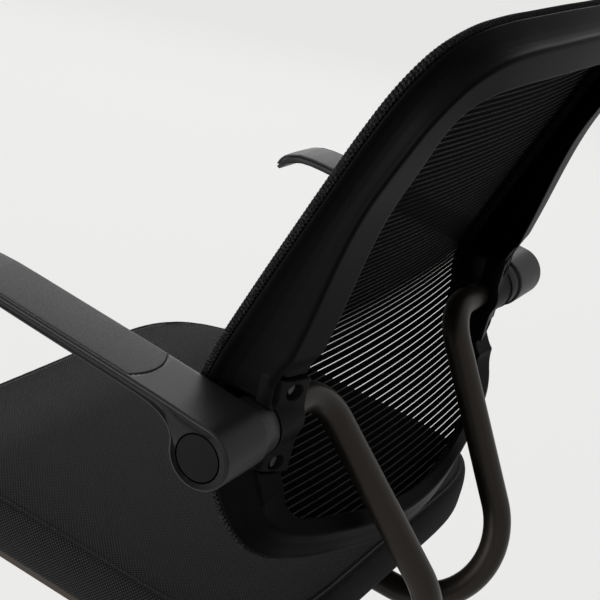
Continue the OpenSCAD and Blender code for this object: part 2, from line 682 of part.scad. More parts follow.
// saddles hold the tubes up against the plate
clamp_foot = 3;
module tube_clamps() {
  color("#29292b")
    for (x = [-1, 1]) for (y = clamp_places)
      difference() {
        intersection() {
          union() {
            translate([x * tube_low_half, y + clamp_length / 2, tube_low_z]) rotate([90, 0, 0])
              cylinder(r = tube_radius + clamp_wall, h = clamp_length);
            translate([x * (tube_low_half + clamp_foot_reach / 2) - clamp_foot_reach / 2,
              y - clamp_length / 2, plate_bottom - clamp_foot - fit_gap])
              cube([clamp_foot_reach, clamp_length, clamp_foot]);
          }
          translate([x > 0 ? tube_low_half - tube_radius : -tube_low_half - clamp_foot_reach - overrun,
            y - clamp_length, tube_low_z - tube_radius * 2])
            cube([tube_radius + clamp_foot_reach + overrun, clamp_length * 2,
              plate_bottom - fit_gap - tube_low_z + tube_radius * 2]);
        }
        translate([x * tube_low_half, y + clamp_length, tube_low_z]) rotate([90, 0, 0])
          cylinder(r = tube_radius + fit_gap, h = clamp_length * 2);
        translate([x * tube_low_half - tube_radius - fit_gap, y - clamp_length, tube_low_z])
          cube([2 * (tube_radius + fit_gap), clamp_length * 2, tube_radius * 2]);
        translate([x * clamp_screw_x, y, plate_bottom - clamp_foot * 3])
          cylinder(r = clamp_screw_radius + fit_gap, h = plate_top);
      }
}
clamp_foot_reach = tube_radius + clamp_wall * 2 + clamp_screw_radius * 2 + clamp_wall;

module clamp_screws() {
  color("#8f8f91")
    for (x = [-1, 1]) for (y = clamp_places)
      translate([x * clamp_screw_x, y, plate_bottom - clamp_foot - fit_gap]) {
      cylinder(r = clamp_screw_radius, h = plate_top - plate_bottom + clamp_foot - fit_gap);
      translate([0, 0, -board_head_height]) cylinder(r = board_screw_head * 0.75, h = board_head_height);
    }
}

// height lever on the sitter's right
lever_reach = 214;
lever_knob_length = 46;
lever_knob_radius = 7;
lever_eye = 8;
lever_eye_radius = 4.6;
module height_lever() {
  color("#767678")
    union() {
      along_x(-lever_reach, 0, lever_z, lever_radius, lever_reach - housing_half + lever_pocket - run_gap);
      translate([lever_pocket / 2 - housing_half, 0, lever_z]) intersection() {
        sphere(r = lever_radius + run_gap - fit_gap);
        translate([0, lever_eye, 0]) rotate([90, 0, 0]) cylinder(r = lever_eye_radius, h = 2 * lever_eye);
      }
    }
}
module lever_knob() {
  color("#202022")
    difference() {
      translate([-lever_reach - lever_radius, 0, lever_z]) rotate([0, 90, 0])
        rotate_extrude()
          polygon([[0, 0], [lever_knob_radius * 0.8, 0], [lever_knob_radius, lever_radius],
            [lever_knob_radius * 0.9, lever_knob_length * 0.7], [lever_radius + run_gap,
              lever_knob_length], [0, lever_knob_length]]);
      along_x(-lever_reach - fit_gap, 0, lever_z, lever_radius + fit_gap, lever_reach);
    }
}

// column
guide_top = 300;
guide_length = 70;
guide_lip = 4;
column_foot = 64;
column_wall = 2.5;
rod_bottom = 96;
column_floor = 4;
module column_outer() {
  color("#2a2a2c")
    difference() {
      translate([0, 0, column_foot]) cylinder(r = column_radius, h = guide_top - column_foot - guide_lip);
      translate([0, 0, column_foot + column_floor]) cylinder(r = column_radius - column_wall, h = guide_top);
    }
}
module column_guide() {
  color("#141416")
    difference() {
      union() {
        translate([0, 0, guide_top - guide_length])
          cylinder(r = column_radius - column_wall - fit_gap, h = guide_length);
        translate([0, 0, guide_top - guide_lip + fit_gap])
          cylinder(r = column_radius, h = guide_lip - fit_gap);
      }
      translate([0, 0, guide_top - guide_length - overrun])
        cylinder(r = rod_radius + fit_gap, h = guide_length + overrun * 2);
    }
}
module column_rod() {
  color("#b5b5b8")
    translate([0, 0, rod_bottom])
      cylinder(r = rod_radius, h = housing_bottom + socket_depth - fit_gap - rod_bottom);
}

// five-arm base
base_hub_radius = 34;
base_hub_bottom = 60;
base_hub_top = 118;
leg_end_top = 92;
leg_end_bottom = 70;
leg_root_bottom = 66;
leg_root_top = 114;
leg_root_half = 25;
leg_end_half = 15;
leg_end_radius = 16;
leg_count = 5;
first_leg = -90;
pin_radius = 5.5;
pin_reach = 16;
module leg_side() {
  rotate([90, 0, 0]) translate([0, 0, -leg_root_half]) linear_extrude(height = 2 * leg_root_half)
    polygon([[0, leg_root_bottom], [base_radius * 0.6, leg_end_bottom * 1.02],
      [base_radius + leg_end_radius, leg_end_bottom],
      [base_radius + leg_end_radius, leg_end_top * 0.97], [base_radius + leg_end_radius * 0.6, leg_end_top],
      [base_radius * 0.75, leg_end_top * 1.03], [base_radius * 0.4, leg_end_top * 1.12], [0, leg_root_top]]);
}
module leg_plan() {
  translate([0, 0, leg_root_bottom - overrun]) linear_extrude(height = leg_root_top)
    union() {
      polygon([[0, -leg_root_half], [base_radius, -leg_end_half], [base_radius, leg_end_half], [0,
        leg_root_half]]);
      translate([base_radius, 0]) circle(r = leg_end_radius);
    }
}
module base_star() {
  color("#242427")
    difference() {
      union() {
        translate([0, 0, base_hub_bottom]) cylinder(r = base_hub_radius, h = base_hub_top - base_hub_bottom);
        for (k = [0 : leg_count - 1]) rotate([0, 0, first_leg + k * 360 / leg_count])
          intersection() {
            leg_side();
            leg_plan();
          }
      }
      translate([0, 0, column_foot]) cylinder(r = column_radius + fit_gap, h = base_hub_top);
      for (k = [0 : leg_count - 1]) rotate([0, 0, first_leg + k * 360 / leg_count])
        translate([base_radius, 0, leg_end_bottom - overrun])
          cylinder(r = pin_radius + fit_gap, h = pin_reach + overrun);
    }
}

// castors
trail = 20;
web_half = 5;
hood_gap = 2.5;
hood_wall = 2.5;
axle_radius = 3;
wheel_bevel = 3;
wheel_side_gap = 0.6;
hood_half = web_half + wheel_side_gap + wheel_width - wheel_bevel;
hood_radius = wheel_radius + hood_gap + hood_wall;
hood_top = leg_end_bottom - run_gap;
stem_flange_radius = 9;
stem_flange = 2;
// the castors trail behind a chair that is rolled forward
module at_castor(k) {
  a = first_leg + k * 360 / leg_count;
  translate([base_radius * cos(a), base_radius * sin(a), 0]) rotate([0, 0, 90]) children();
}
module castor_body(k) {
  color("#1b1b1d") at_castor(k)
    difference() {
      union() {
        translate([trail, web_half, wheel_radius]) rotate([90, 0, 0])
          cylinder(r = wheel_radius - wheel_bevel, h = 2 * web_half);
        intersection() {
          translate([trail, hood_half, wheel_radius]) rotate([90, 0, 0])
            difference() {
              cylinder(r = hood_radius, h = 2 * hood_half);
              translate([0, 0, -overrun])
                cylinder(r = hood_radius - hood_wall, h = 2 * hood_half + 2 * overrun);
            }
          translate([trail - hood_radius, -hood_half, wheel_radius + hood_gap])
            cube([hood_radius * 1.5, 2 * hood_half, hood_radius]);
        }
        translate([trail, 0, wheel_radius]) intersection() {
          translate([0, web_half, 0]) rotate([90, 0, 0])
            cylinder(r = hood_radius - hood_wall / 2, h = 2 * web_half);
          translate([-hood_radius, -web_half, 0]) cube([hood_radius * 1.5, 2 * web_half, hood_radius]);
        }
        translate([0, 0, wheel_radius + wheel_radius / 2])
          cylinder(r = stem_flange_radius, h = hood_top - wheel_radius * 1.5);
      }
      translate([0, 0, hood_top - stem_depth]) cylinder(r = pin_radius + fit_gap, h = stem_depth + overrun);
      translate([trail, hood_half, wheel_radius]) rotate([90, 0, 0])
        cylinder(r = axle_radius + fit_gap, h = 2 * hood_half);
      for (s = sides)
        translate([trail, s > 0 ? web_half + wheel_width + wheel_side_gap : -web_half, wheel_radius])
        rotate([90, 0, 0]) cylinder(r = wheel_radius + hood_gap / 2, h = wheel_width + wheel_side_gap);
    }
}
stem_depth = 14;
module castor_stem(k) {
  color("#a0a0a3") at_castor(k) {
    translate([0, 0, hood_top - stem_depth + fit_gap])
      cylinder(r = pin_radius, h = stem_depth + run_gap + pin_reach - 2 * fit_gap);
    translate([0, 0, hood_top + fit_gap])
      cylinder(r = stem_flange_radius - stem_flange, h = run_gap - 2 * fit_gap);
  }
}
module castor_axle(k) {
  color("#a0a0a3") at_castor(k)
    translate([trail, axle_half, wheel_radius]) rotate([90, 0, 0])
      cylinder(r = axle_radius, h = 2 * axle_half);
}
axle_half = web_half + wheel_width - wheel_bevel;
module castor_wheels(k) {
  color("#2e2e30") at_castor(k)
    for (s = sides) translate([trail, s * (web_half + wheel_side_gap), wheel_radius])
      rotate([s > 0 ? -90 : 90, 0, 0])
      difference() {
        rotate_extrude()
          polygon([[0, 0], [wheel_radius - wheel_bevel / 3, 0], [wheel_radius, wheel_bevel / 3],
            [wheel_radius, wheel_width - wheel_bevel],
            [wheel_radius - wheel_bevel / 2, wheel_width - wheel_bevel / 3],
              [wheel_radius - wheel_bevel * 1.5, wheel_width],
            [wheel_radius / 3, wheel_width - wheel_bevel / 3], [0, wheel_width - wheel_bevel / 3]]);
        translate([0, 0, -overrun]) cylinder(r = axle_radius + fit_gap, h = axle_half - web_half + overrun);
      }
}

back_frame();
mesh_trim();
back_mesh();
bracket_left();
bracket_right();
bracket_cover_left();
bracket_cover_right();
bracket_screws();
tube_left();
tube_right();
arm_left();
arm_right();
arm_pad_left();
arm_pad_right();
hub_cap_left();
hub_cap_right();
pivot_bush_left();
pivot_bush_right();
pivot_bolt_left();
pivot_bolt_right();
seat_cushion();
seat_board();
seat_screws();
seat_carrier();
tube_clamps();
clamp_screws();
height_lever();
lever_knob();
column_outer();
column_guide();
column_rod();
base_star();
castor_body(0);  // castor_body_1
castor_body(1);  // castor_body_2
castor_body(2);  // castor_body_3
castor_body(3);  // castor_body_4
castor_body(4);  // castor_body_5
castor_stem(0);  // castor_stem_1
castor_stem(1);  // castor_stem_2
castor_stem(2);  // castor_stem_3
castor_stem(3);  // castor_stem_4
castor_stem(4);  // castor_stem_5
castor_wheels(0);  // castor_wheels_1
castor_wheels(1);  // castor_wheels_2
castor_wheels(2);  // castor_wheels_3
castor_wheels(3);  // castor_wheels_4
castor_wheels(4);  // castor_wheels_5
castor_axle(0);  // castor_axle_1
castor_axle(1);  // castor_axle_2
castor_axle(2);  // castor_axle_3
castor_axle(3);  // castor_axle_4
castor_axle(4);  // castor_axle_5
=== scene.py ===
import json
import math

import bpy
import numpy as np
from mathutils import Matrix


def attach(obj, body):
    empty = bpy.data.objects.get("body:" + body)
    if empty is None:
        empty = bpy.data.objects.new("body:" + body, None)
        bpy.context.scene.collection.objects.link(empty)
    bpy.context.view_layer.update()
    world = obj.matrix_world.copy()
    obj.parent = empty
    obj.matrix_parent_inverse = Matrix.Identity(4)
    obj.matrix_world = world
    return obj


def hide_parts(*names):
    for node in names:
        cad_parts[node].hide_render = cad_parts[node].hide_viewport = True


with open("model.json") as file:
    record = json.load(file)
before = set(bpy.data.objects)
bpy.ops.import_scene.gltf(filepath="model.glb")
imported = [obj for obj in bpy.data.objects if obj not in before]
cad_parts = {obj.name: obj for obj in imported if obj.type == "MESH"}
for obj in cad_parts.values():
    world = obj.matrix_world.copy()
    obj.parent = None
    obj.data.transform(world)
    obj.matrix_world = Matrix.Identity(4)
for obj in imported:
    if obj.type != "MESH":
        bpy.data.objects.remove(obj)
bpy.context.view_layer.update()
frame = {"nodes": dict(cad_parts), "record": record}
nodes = frame["nodes"]
scene = bpy.context.scene
pivot = np.array([0.0, 0.158, 0.628])  # arm pivot on the middle plane, in metres
sides = ((1, "left"), (-1, "right"))


class Val:
    # one number socket of a node tree; + - * / and the functions named below the class add Math nodes
    def __init__(self, owner, socket):
        self.owner = owner
        self.socket = socket

    def op(self, operation, *inputs, clamp=False):
        made = self.owner.node("Math", {"operation": operation, "use_clamp": clamp}, dict(enumerate(inputs)))
        return Val(self.owner, made.outputs[0])

    def __radd__(self, other):
        return self.op("ADD", other, self)

    def __rsub__(self, other):
        return self.op("SUBTRACT", other, self)

    def clamp(self):
        return self.op("ADD", self, 0.0, clamp=True)

    def above(self, edge, soft):
        # 0 below the edge, 1 above it, with a soft step of the given width
        return ((self - edge) / soft + 0.5).clamp()


def mathMethod(operation):
    return lambda self, *others: self.op(operation, self, *others)


for method, operation in (("__add__", "ADD"), ("__sub__", "SUBTRACT"), ("__mul__", "MULTIPLY"),
                          ("__truediv__", "DIVIDE"), ("sin", "SINE"), ("abs", "ABSOLUTE"), ("floor", "FLOOR"),
                          ("fract", "FRACT"), ("least", "MINIMUM"), ("most", "MAXIMUM")):
    setattr(Val, method, mathMethod(operation))


class Nodes:
    # adds and links the nodes of one node tree
    def __init__(self, tree):
        self.tree = tree

    def node(self, kind, settings=None, sockets=None):
        made = self.tree.nodes.new("ShaderNode" + kind)
        for key, value in (settings or {}).items():
            setattr(made, key, value)
        for key, value in (sockets or {}).items():
            self.feed(made.inputs[key], value)
        return made

    def feed(self, socket, value):
        if isinstance(value, Val):
            self.tree.links.new(value.socket, socket)
        elif isinstance(value, bpy.types.NodeSocket):
            self.tree.links.new(value, socket)
        elif value is not None:
            socket.default_value = value


class Finish(Nodes):
    # a material with a Principled shader; constants are set on its own sockets
    def __init__(self, name, **constants):
        self.material = bpy.data.materials.new(name)
        self.material.use_nodes = True
        super().__init__(self.material.node_tree)
        self.shader = self.tree.nodes["Principled BSDF"]
        for key, value in constants.items():
            self.shader.inputs[key.replace("_", " ")].default_value = value

    def coords(self, which="Object"):
        return self.node("TexCoord").outputs[which]

    def split(self, vector):
        made = self.node("SeparateXYZ", None, {"Vector": vector})
        return [Val(self, made.outputs[k]) for k in range(3)]

    def noise(self, scale, detail, rough=0.5, vector=None):
        made = self.node("TexNoise", None, {"Vector": vector or self.coords(), "Scale": scale,
                                            "Detail": detail, "Roughness": rough})
        return Val(self, made.outputs["Fac"])

    def grain(self, stretch, scale, detail):
        # noise drawn out by the stretch
        made = self.node("Mapping", None, {"Vector": self.coords(), "Scale": stretch})
        return self.noise(scale, detail, 0.6, made.outputs[0])

    def cells(self, scale):
        made = self.node("TexVoronoi", None, {"Vector": self.coords(), "Scale": scale})
        return Val(self, made.outputs["Distance"])

    def colour(self, amount, first, second):
        sockets = {"Factor": amount, 6: (*first, 1.0), 7: (*second, 1.0)}
        made = self.node("Mix", {"data_type": "RGBA"}, sockets)
        self.feed(self.shader.inputs["Base Color"], made.outputs[2])

    def rough(self, amount):
        self.feed(self.shader.inputs["Roughness"], amount)

    def bump(self, height, distance):
        made = self.node("Bump", None, {"Height": height, "Distance": distance, "Strength": 1.0})
        self.feed(self.shader.inputs["Normal"], made.outputs[0])


def mouldedPlastic(name, dark, light, roughness, grain=0.00006, grainSize=1400.0, spread=0.06, gloss=0.5):
    # near-black moulded plastic: spark-eroded grain, faint cloudy flow and small gloss changes
    finish = Finish(name, Specular_IOR_Level=gloss)
    cloud = finish.noise(9.0, 4.0)
    fine = finish.noise(grainSize, 2.0, 0.6)
    dust = finish.noise(260.0, 2.0).above(0.7, 0.08)
    finish.colour((cloud * 0.7 + fine * 0.3 + dust * 0.15).clamp(), dark, light)
    finish.rough((roughness - spread / 2) + cloud * spread + fine * 0.05)
    finish.bump(fine + cloud * 0.3, grain)
    return finish.material


def softPad(name):
    # soft-touch pad skin: pebbled grain over fine pores
    finish = Finish(name, Specular_IOR_Level=0.4)
    pebble = finish.cells(900.0)
    fine = finish.noise(2200.0, 2.0)
    cloud = finish.noise(14.0, 3.0)
    finish.colour((pebble * 0.8 + cloud * 0.5 - 0.2).clamp(), (0.014, 0.014, 0.015), (0.037, 0.037, 0.039))
    finish.rough(0.52 + pebble * 0.12 + cloud * 0.08)
    finish.bump(pebble * 0.7 + fine * 0.3, 0.00012)
    return finish.material


def powderCoat(name, dark, light, roughness, metallic=0.25, gloss=0.55):
    # powder coat: orange peel under a soft gloss
    finish = Finish(name, Specular_IOR_Level=gloss, Metallic=metallic)
    peel = finish.noise(420.0, 2.0)
    cloud = finish.noise(7.0, 3.0)
    speck = finish.noise(1500.0, 1.0).above(0.66, 0.06)
    finish.colour((cloud * 0.8 + speck * 0.3).clamp(), dark, light)
    finish.rough(roughness + peel * 0.1 + cloud * 0.05)
    finish.bump(peel + speck * 0.1, 0.00008)
    return finish.material


def turnedSteel(name, light, roughness):
    # plated, polished or blackened steel with fine turning lines
    finish = Finish(name, Metallic=1.0)
    line = finish.grain((1.0, 1.0, 60.0), 70.0, 3.0)
    cloud = finish.noise(25.0, 3.0)
    finish.colour(line * 0.6 + cloud * 0.4, (light * 0.8, light * 0.8, light * 0.82),
                  (light, light, light * 1.02))
    finish.rough(roughness + line * 0.12)
    finish.bump(line, 0.00002)
    return finish.material


def stainedPly(name):
    # dark stained ply board, grain along Y
    finish = Finish(name, Specular_IOR_Level=0.4)
    grain = finish.grain((22.0, 1.6, 160.0), 9.0, 5.0)
    finish.colour(grain, (0.012, 0.009, 0.007), (0.06, 0.043, 0.03))
    finish.rough(0.55 + grain * 0.2)
    finish.bump(grain, 0.0001)
    return finish.material


def wovenSeat(name):
    # dark flat weave with a fine square grid, from the piece's UV map in metres
    finish = Finish(name, Specular_IOR_Level=0.12, Sheen_Weight=0.06, Sheen_Roughness=0.5)
    u, v, _ = finish.split(finish.coords("UV"))
    wobble = finish.noise(60.0, 2.0) * 0.0008
    pitch = 0.0032
    across = ((u + wobble) * (math.tau / pitch)).sin()
    along = ((v + wobble) * (math.tau / pitch)).sin()
    grid = (across * along * 0.5 + 0.5).clamp()
    line = (across.abs().least(along.abs())).clamp()
    yarn = finish.noise(1600.0, 2.0, 0.7)
    cloud = finish.noise(11.0, 4.0)
    finish.colour((grid * 1.5 + line * 0.3 + yarn * 0.4 + cloud * 0.2 - 1.05).clamp(), (0.002, 0.002, 0.0022),
                  (0.046, 0.046, 0.0485))
    finish.rough(0.82 + yarn * 0.12)
    finish.bump(grid * 0.6 + line * 0.5 + yarn * 0.3, 0.00035)
    return finish.material


def ribbedKnit(name):
    # u across and v up in metres: solid ribs, and below openHigh open courses between them; over the knit's
    # own dark yarn the colour paints light: a painted highlight on each rib's top and painted shade in the
    # grooves between ribs
    finish = Finish(name, Specular_IOR_Level=0.02)
    u, v, _ = finish.split(finish.coords("UV"))
    height = finish.split(finish.coords("Object"))[2]
    rib = (v * (math.tau / knit["pitch"])).sin() * 0.5 + 0.5
    wave = ((v / knit["pitch"] + 0.25).fract() - 0.5).abs() * 2.0
    stitch = (u * (math.tau / knit["stitch"]) + (v / knit["pitch"]).floor() * math.pi).sin() * 0.5 + 0.5
    yarn = finish.noise(1500.0, 2.0, 0.7)
    # the rib term paints a highlight on the rib tops and shade in the grooves between them; the yarn and
    # stitch terms are the knit's own tone
    finish.colour((rib * 1.1 + yarn * 0.3 + stitch * 0.2 - 0.6).clamp(), (0.0004, 0.0004, 0.0004),
                  (0.022, 0.022, 0.0235))
    finish.rough(0.75 + yarn * 0.15)
    gap = (1.0 - height.above(knit["openHigh"], 0.05)) * (knit["open"] + (stitch + yarn - 1.0) * 0.04)
    finish.feed(finish.shader.inputs["Alpha"], (wave - gap).above(0.0, 0.03))
    finish.bump(rib + stitch * 0.3, 0.0006)
    return finish.material


def knitCord(name):
    # knitted edge cord, u along it and v round it; slanted stitches with light flecks
    finish = Finish(name, Specular_IOR_Level=0.08)
    u, v, _ = finish.split(finish.coords("UV"))
    pitch, slope = 0.0034, 14.0
    slant = (u * (math.tau / pitch) + v * slope).sin() * 0.5 + 0.5
    counter = (u * (math.tau / pitch) - v * slope).sin() * 0.5 + 0.5
    stitch = slant.most(counter)
    yarn = finish.noise(1800.0, 2.0, 0.7)
    fleck = finish.cells(700.0).above(0.62, 0.1)
    finish.colour((stitch * 0.45 + yarn * 0.3 + fleck * 0.8 - 0.3).clamp(), (0.002, 0.002, 0.002),
                  (0.036, 0.036, 0.037))
    finish.rough(0.72 + yarn * 0.15)
    finish.bump(stitch + yarn * 0.2, 0.0009)
    return finish.material


def facesOutward(points, polygons):
    # the signed volume under the faces tells which way they look; all are turned if it is negative
    first, second, third, last = [points[[p[k] for p in polygons]] - points.mean(0) for k in (0, 1, 2, -1)]
    volume = np.sum(first * np.cross(second, third)) + np.sum(first * np.cross(third, last))
    return polygons if volume > 0 else [p[::-1] for p in polygons]


def gridFaces(rows, columns, closeU, closeV):
    i, j = np.meshgrid(np.arange(rows if closeU else rows - 1), np.arange(columns if closeV else columns - 1),
                       indexing="ij")
    i2, j2 = (i + 1) % rows, (j + 1) % columns
    corners = [i * columns + j, i * columns + j2, i2 * columns + j2, i2 * columns + j]
    return np.stack(corners, -1).reshape(-1, 4)


def added(name, data):
    made = bpy.data.objects.new(name, data)
    scene.collection.objects.link(made)
    return made


def meshPiece(name, points, polygons, material, uv=None, outward=True):
    # uv is one pair for each vertex; outward=False leaves the faces as they are
    points = np.asarray(points, float).reshape(-1, 3)
    polygons = facesOutward(points, polygons) if outward else polygons
    mesh = bpy.data.meshes.new(name)
    mesh.from_pydata(points.tolist(), [], polygons)
    if uv is not None:
        corners = np.fromiter((k for p in polygons for k in p), int)
        layer = mesh.uv_layers.new(name="cloth")
        layer.data.foreach_set("uv", np.asarray(uv, np.float32).reshape(-1, 2)[corners].ravel())
    mesh.polygons.foreach_set("use_smooth", [True] * len(mesh.polygons))
    mesh.materials.append(material)
    mesh.update()
    return added(name, mesh)


def gridPiece(name, points, material, closed=False, uv=None):
    # points[i, j] is the surface at row i and column j; closed joins the last row and column to the first
    polygons = gridFaces(*points.shape[:2], closed, closed).tolist()
    return meshPiece(name, points, polygons, material, uv, outward=closed)


knit = {"pitch": 0.0064, "stitch": 0.0016, "open": 0.09, "openHigh": 0.636, "inset": 0.0083, "rows": 520,
        "columns": 90, "skipRows": 3, "edgeRows": 40, "leastHalf": 0.004}

print("finishes")
finishes = {
    "frame_plastic": mouldedPlastic("framePlastic", (0.0022, 0.0022, 0.0025), (0.007, 0.007, 0.0075), 0.42,
                                    gloss=0.022),
    "bracket_plastic": mouldedPlastic("bracketPlastic", (0.004, 0.004, 0.0044), (0.011, 0.011, 0.0116), 0.42,
                                      gloss=0.03),
    "arm_plastic": mouldedPlastic("armPlastic", (0.010, 0.010, 0.0108), (0.028, 0.028, 0.0295), 0.4,
                                  gloss=0.17),
    "cap_plastic": mouldedPlastic("capPlastic", (0.004, 0.004, 0.0044), (0.011, 0.011, 0.012), 0.5, 0.00012,
                                  900.0, gloss=0.06),
    "pad_rubber": softPad("padSkin"),
    "knit_trim": knitCord("knitCord"),
    "mesh_fabric": ribbedKnit("ribbedKnit"),
    "seat_fabric": wovenSeat("seatWeave"),
    "tube_paint": powderCoat("tubeCoat", (0.017, 0.014, 0.011), (0.032, 0.026, 0.021), 0.32, 0.4, 0.22),
    "carrier_paint": powderCoat("carrierCoat", (0.014, 0.014, 0.014), (0.03, 0.03, 0.03), 0.4),
    "column_paint": powderCoat("columnCoat", (0.012, 0.012, 0.012), (0.028, 0.028, 0.028), 0.35),
    "rod_chrome": turnedSteel("rodChrome", 0.8, 0.06),
    "steel": turnedSteel("platedSteel", 0.5, 0.3),
    "blackSteel": turnedSteel("blackenedSteel", 0.05, 0.42),
    "bush_plastic": mouldedPlastic("bushPlastic", (0.5, 0.48, 0.42), (0.62, 0.6, 0.54), 0.4),
    "board_wood": stainedPly("stainedPly"),
    "base_plastic": mouldedPlastic("basePlastic", (0.012, 0.012, 0.013), (0.028, 0.028, 0.03), 0.42),
    "castor_plastic": mouldedPlastic("castorPlastic", (0.009, 0.009, 0.010), (0.022, 0.022, 0.024), 0.38),
}
slotOf = {part["node"]: part["material_slot"] for part in frame["record"]["subparts"]}
slotOf["bracket_screws"] = "blackSteel"  # black cap screws in the covers' recesses
for nodeName, piece in nodes.items():
    piece.data.materials.clear()
    piece.data.materials.append(finishes[slotOf[nodeName]])


def smoothStep(t):
    t = np.clip(t, 0.0, 1.0)
    return t * t * (3 - 2 * t)


def eased(first, last, t):
    # from the first value at t = 0 to the last at t = 1
    return first + (last - first) * smoothStep(t)


def unit(v):
    return v / np.linalg.norm(v, axis=-1, keepdims=True)


def lengthAlong(points):
    # distance of each point of a line from the first, along the line
    return np.concatenate([[0], np.cumsum(np.linalg.norm(np.diff(points, axis=0), axis=1))])


def readAt(at, along, rows):
    # rows of values given at places along a line, read at other places
    return np.stack([np.interp(at, along, column) for column in rows.T], -1)


def turns(count):
    # even angles round a circle
    return np.linspace(0, math.tau, count, endpoint=False)


def evenly(points, count, closed=False):
    # points of a line set again at even distances along it, and the line's length
    pts = np.array(points, float)
    if closed:
        pts = np.concatenate([pts, pts[:1]])
    length = lengthAlong(pts)
    at = np.linspace(0, length[-1], count + (1 if closed else 0))
    made = readAt(at, length, pts)
    return (made[:-1] if closed else made), length[-1]


def softened(points, spread):
    # even points of a closed line, each the bell-weighted mean of its neighbours; spread counts points
    n = len(points)
    away = np.minimum(np.arange(n), n - np.arange(n))
    bell = np.exp(-0.5 * (away / spread) ** 2)
    bell /= bell.sum()
    return np.real(np.fft.ifft(np.fft.fft(points, axis=0) * np.fft.fft(bell)[:, None], axis=0))


def throughKeys(keys, fine=24):
    # closed curve through the keys: cubic Hermite pieces, each tangent weighted by the lengths beside its key
    keys = np.array(keys, float)
    ahead = np.roll(keys, -1, 0) - keys
    h = np.linalg.norm(ahead, axis=1)[:, None]
    before = np.roll(h, 1, 0)
    tangent = (np.roll(ahead / h, 1, 0) * h + ahead / h * before) / (h + before)
    t = np.linspace(0, 1, fine, endpoint=False)[None, :, None]
    p0, p1 = keys[:, None], np.roll(keys, -1, 0)[:, None]
    m0, m1 = (tangent * h)[:, None], (np.roll(tangent, -1, 0) * h)[:, None]
    return ((2 * t ** 3 - 3 * t ** 2 + 1) * p0 + (t ** 3 - 2 * t ** 2 + t) * m0
            + (3 * t ** 2 - 2 * t ** 3) * p1 + (t ** 3 - t ** 2) * m1).reshape(-1, 2)


back = {
    "halfWidth": 0.237, "top": 0.338, "drop": 0.154, "lead": 0.050,
    "upperSlope": 0.38, "lowerSlope": 0.72, "knee": 0.03042, "hollow": 0.014,
    "levelHalf": 0.048, "levelEase": 0.052,
    # depth of the section above the pivot, at the top, beside the pivot and at the bottom
    "depth": 0.062, "topDepth": 0.039, "sideDepth": 0.041, "footDepth": 0.028,
    "depthTurn": 0.060, "depthRun": 0.160, "footRun": 0.062,
    # width from the lip to the opening
    "flange": 0.047, "flangeTop": 0.034, "flangeSide": 0.051, "flangeFoot": 0.031,
    "flangeTopStart": 0.220, "flangeTopRun": 0.080, "flangeFootStart": 0.088, "flangeFootRun": 0.042,
    "cornerPull": 0.6, "cornerStart": 0.7, "cornerRun": 0.2, "wallReach": 0.036,
    "pocketHalf": 0.046, "pocketRamp": 0.003, "pocketFloor": 0.027, "pocketKnee": 0.020, "pocketSlope": 0.75,
    "trimRadius": 0.004, "trimBed": 0.008, "seatGap": 0.0003,
    "stations": 760, "sectionPoints": 110, "cornerSoft": 0.0055,
    # right half of the lip outline, top middle to bottom middle: shares of half width and of height
    "upperOutline": [[0, 1], [0.2, 1], [0.42, 0.997], [0.62, 0.992], [0.78, 0.978], [0.9, 0.945],
                     [0.965, 0.89], [0.988, 0.82], [0.994, 0.72], [0.996, 0.6], [0.998, 0.49]],
    "sideSteps": [1.5, 1.07, 1, 0.6, 0.2, -0.1, -0.4348, -1, -1.07, -1.25],
    "footOutline": [[1.006, 0.17], [0.996, 0.135], [0.96, 0.102], [0.885, 0.076], [0.76, 0.054],
                    [0.58, 0.034], [0.38, 0.016], [0.19, 0.004], [0, 0]],
    # channel section: shares of the wall reach, of the flange, of the depth, and of the depth in the pocket
    "sideSection": [[0, 0, 0, 0], [0, 0, 0.06, 0.1], [0.13, 0, 0.17, 0.25], [0.21, 0, 0.32, 0.45],
                    [0.22, 0, 0.5, 0.6], [0.19, 0, 0.68, 0.75], [0.15, 0, 0.8, 0.88], [0.15, 0, 0.86, 0.96],
                    [0.2, 0, 0.9, 1], [0, 0.97, 1, 1], [0, 1, 0.97, 0.9], [0, 0.97, 0.94, 0.8],
                    [0.42, 0, 0.84, 0.8], [0.36, 0, 0.72, 0.7], [0.37, 0, 0.52, 0.55], [0.34, 0, 0.36, 0.4],
                    [0.27, 0, 0.16, 0.2], [0.2, 0, 0, 0]],
    "footSection": [[0, 0, 0, 0], [0, 0, 0.07, 0.1], [0.08, 0, 0.2, 0.25], [0.18, 0, 0.4, 0.45],
                    [0.3, 0, 0.62, 0.6], [0.39, 0, 0.82, 0.75], [0.44, 0, 0.93, 0.88], [0.49, 0, 0.985, 0.96],
                    [0.54, 0, 1, 1], [0, 0.97, 1, 1], [0, 1, 0.93, 0.9], [0, 0.97, 0.87, 0.8],
                    [0.62, 0, 0.86, 0.8], [0.55, 0, 0.78, 0.7], [0.45, 0, 0.6, 0.55], [0.36, 0, 0.42, 0.4],
                    [0.3, 0, 0.22, 0.2], [0.25, 0, 0, 0]],
    "sectionSoft": 0.0011, "turnSoft": 0.012,
    # parting lines with the cover: distance in from the lip, height above or below the pivot
    "partingTop": [[0, 0.050], [0.009, 0.0495], [0.018, 0.043], [0.027, 0.041], [0.050, 0.0392]],
    "partingLow": [[0, 0.030], [0.004, 0.0315], [0.018, 0.038], [0.050, 0.047]],
    "wallTop": 0.0250, "wallLow": 0.0292, "wallPoints": 8.07,
    "frameStations": 860, "partingGap": 0.0004, "sideShare": 0.9, "stepPast": 0.0015, "stepWidth": 0.003,
    "stepDense": 9,
    # heights where the slide to the parting lines and the sharp flange direction end, and over what length
    "topFade": 0.125, "topFadeRun": 0.068, "lowFade": 0.105, "lowFadeRun": 0.045, "softFade": 0.05,
    "softFadeRun": 0.03,
}


def lean(z):
    # lip line seen from the side: a straight each way, joined by a soft knee at the pivot's height
    upper, lower = back["upperSlope"], back["lowerSlope"]
    return z * (upper - lower) / 2 + (np.hypot(z, back["knee"]) - back["knee"]) * (upper + lower) / 2


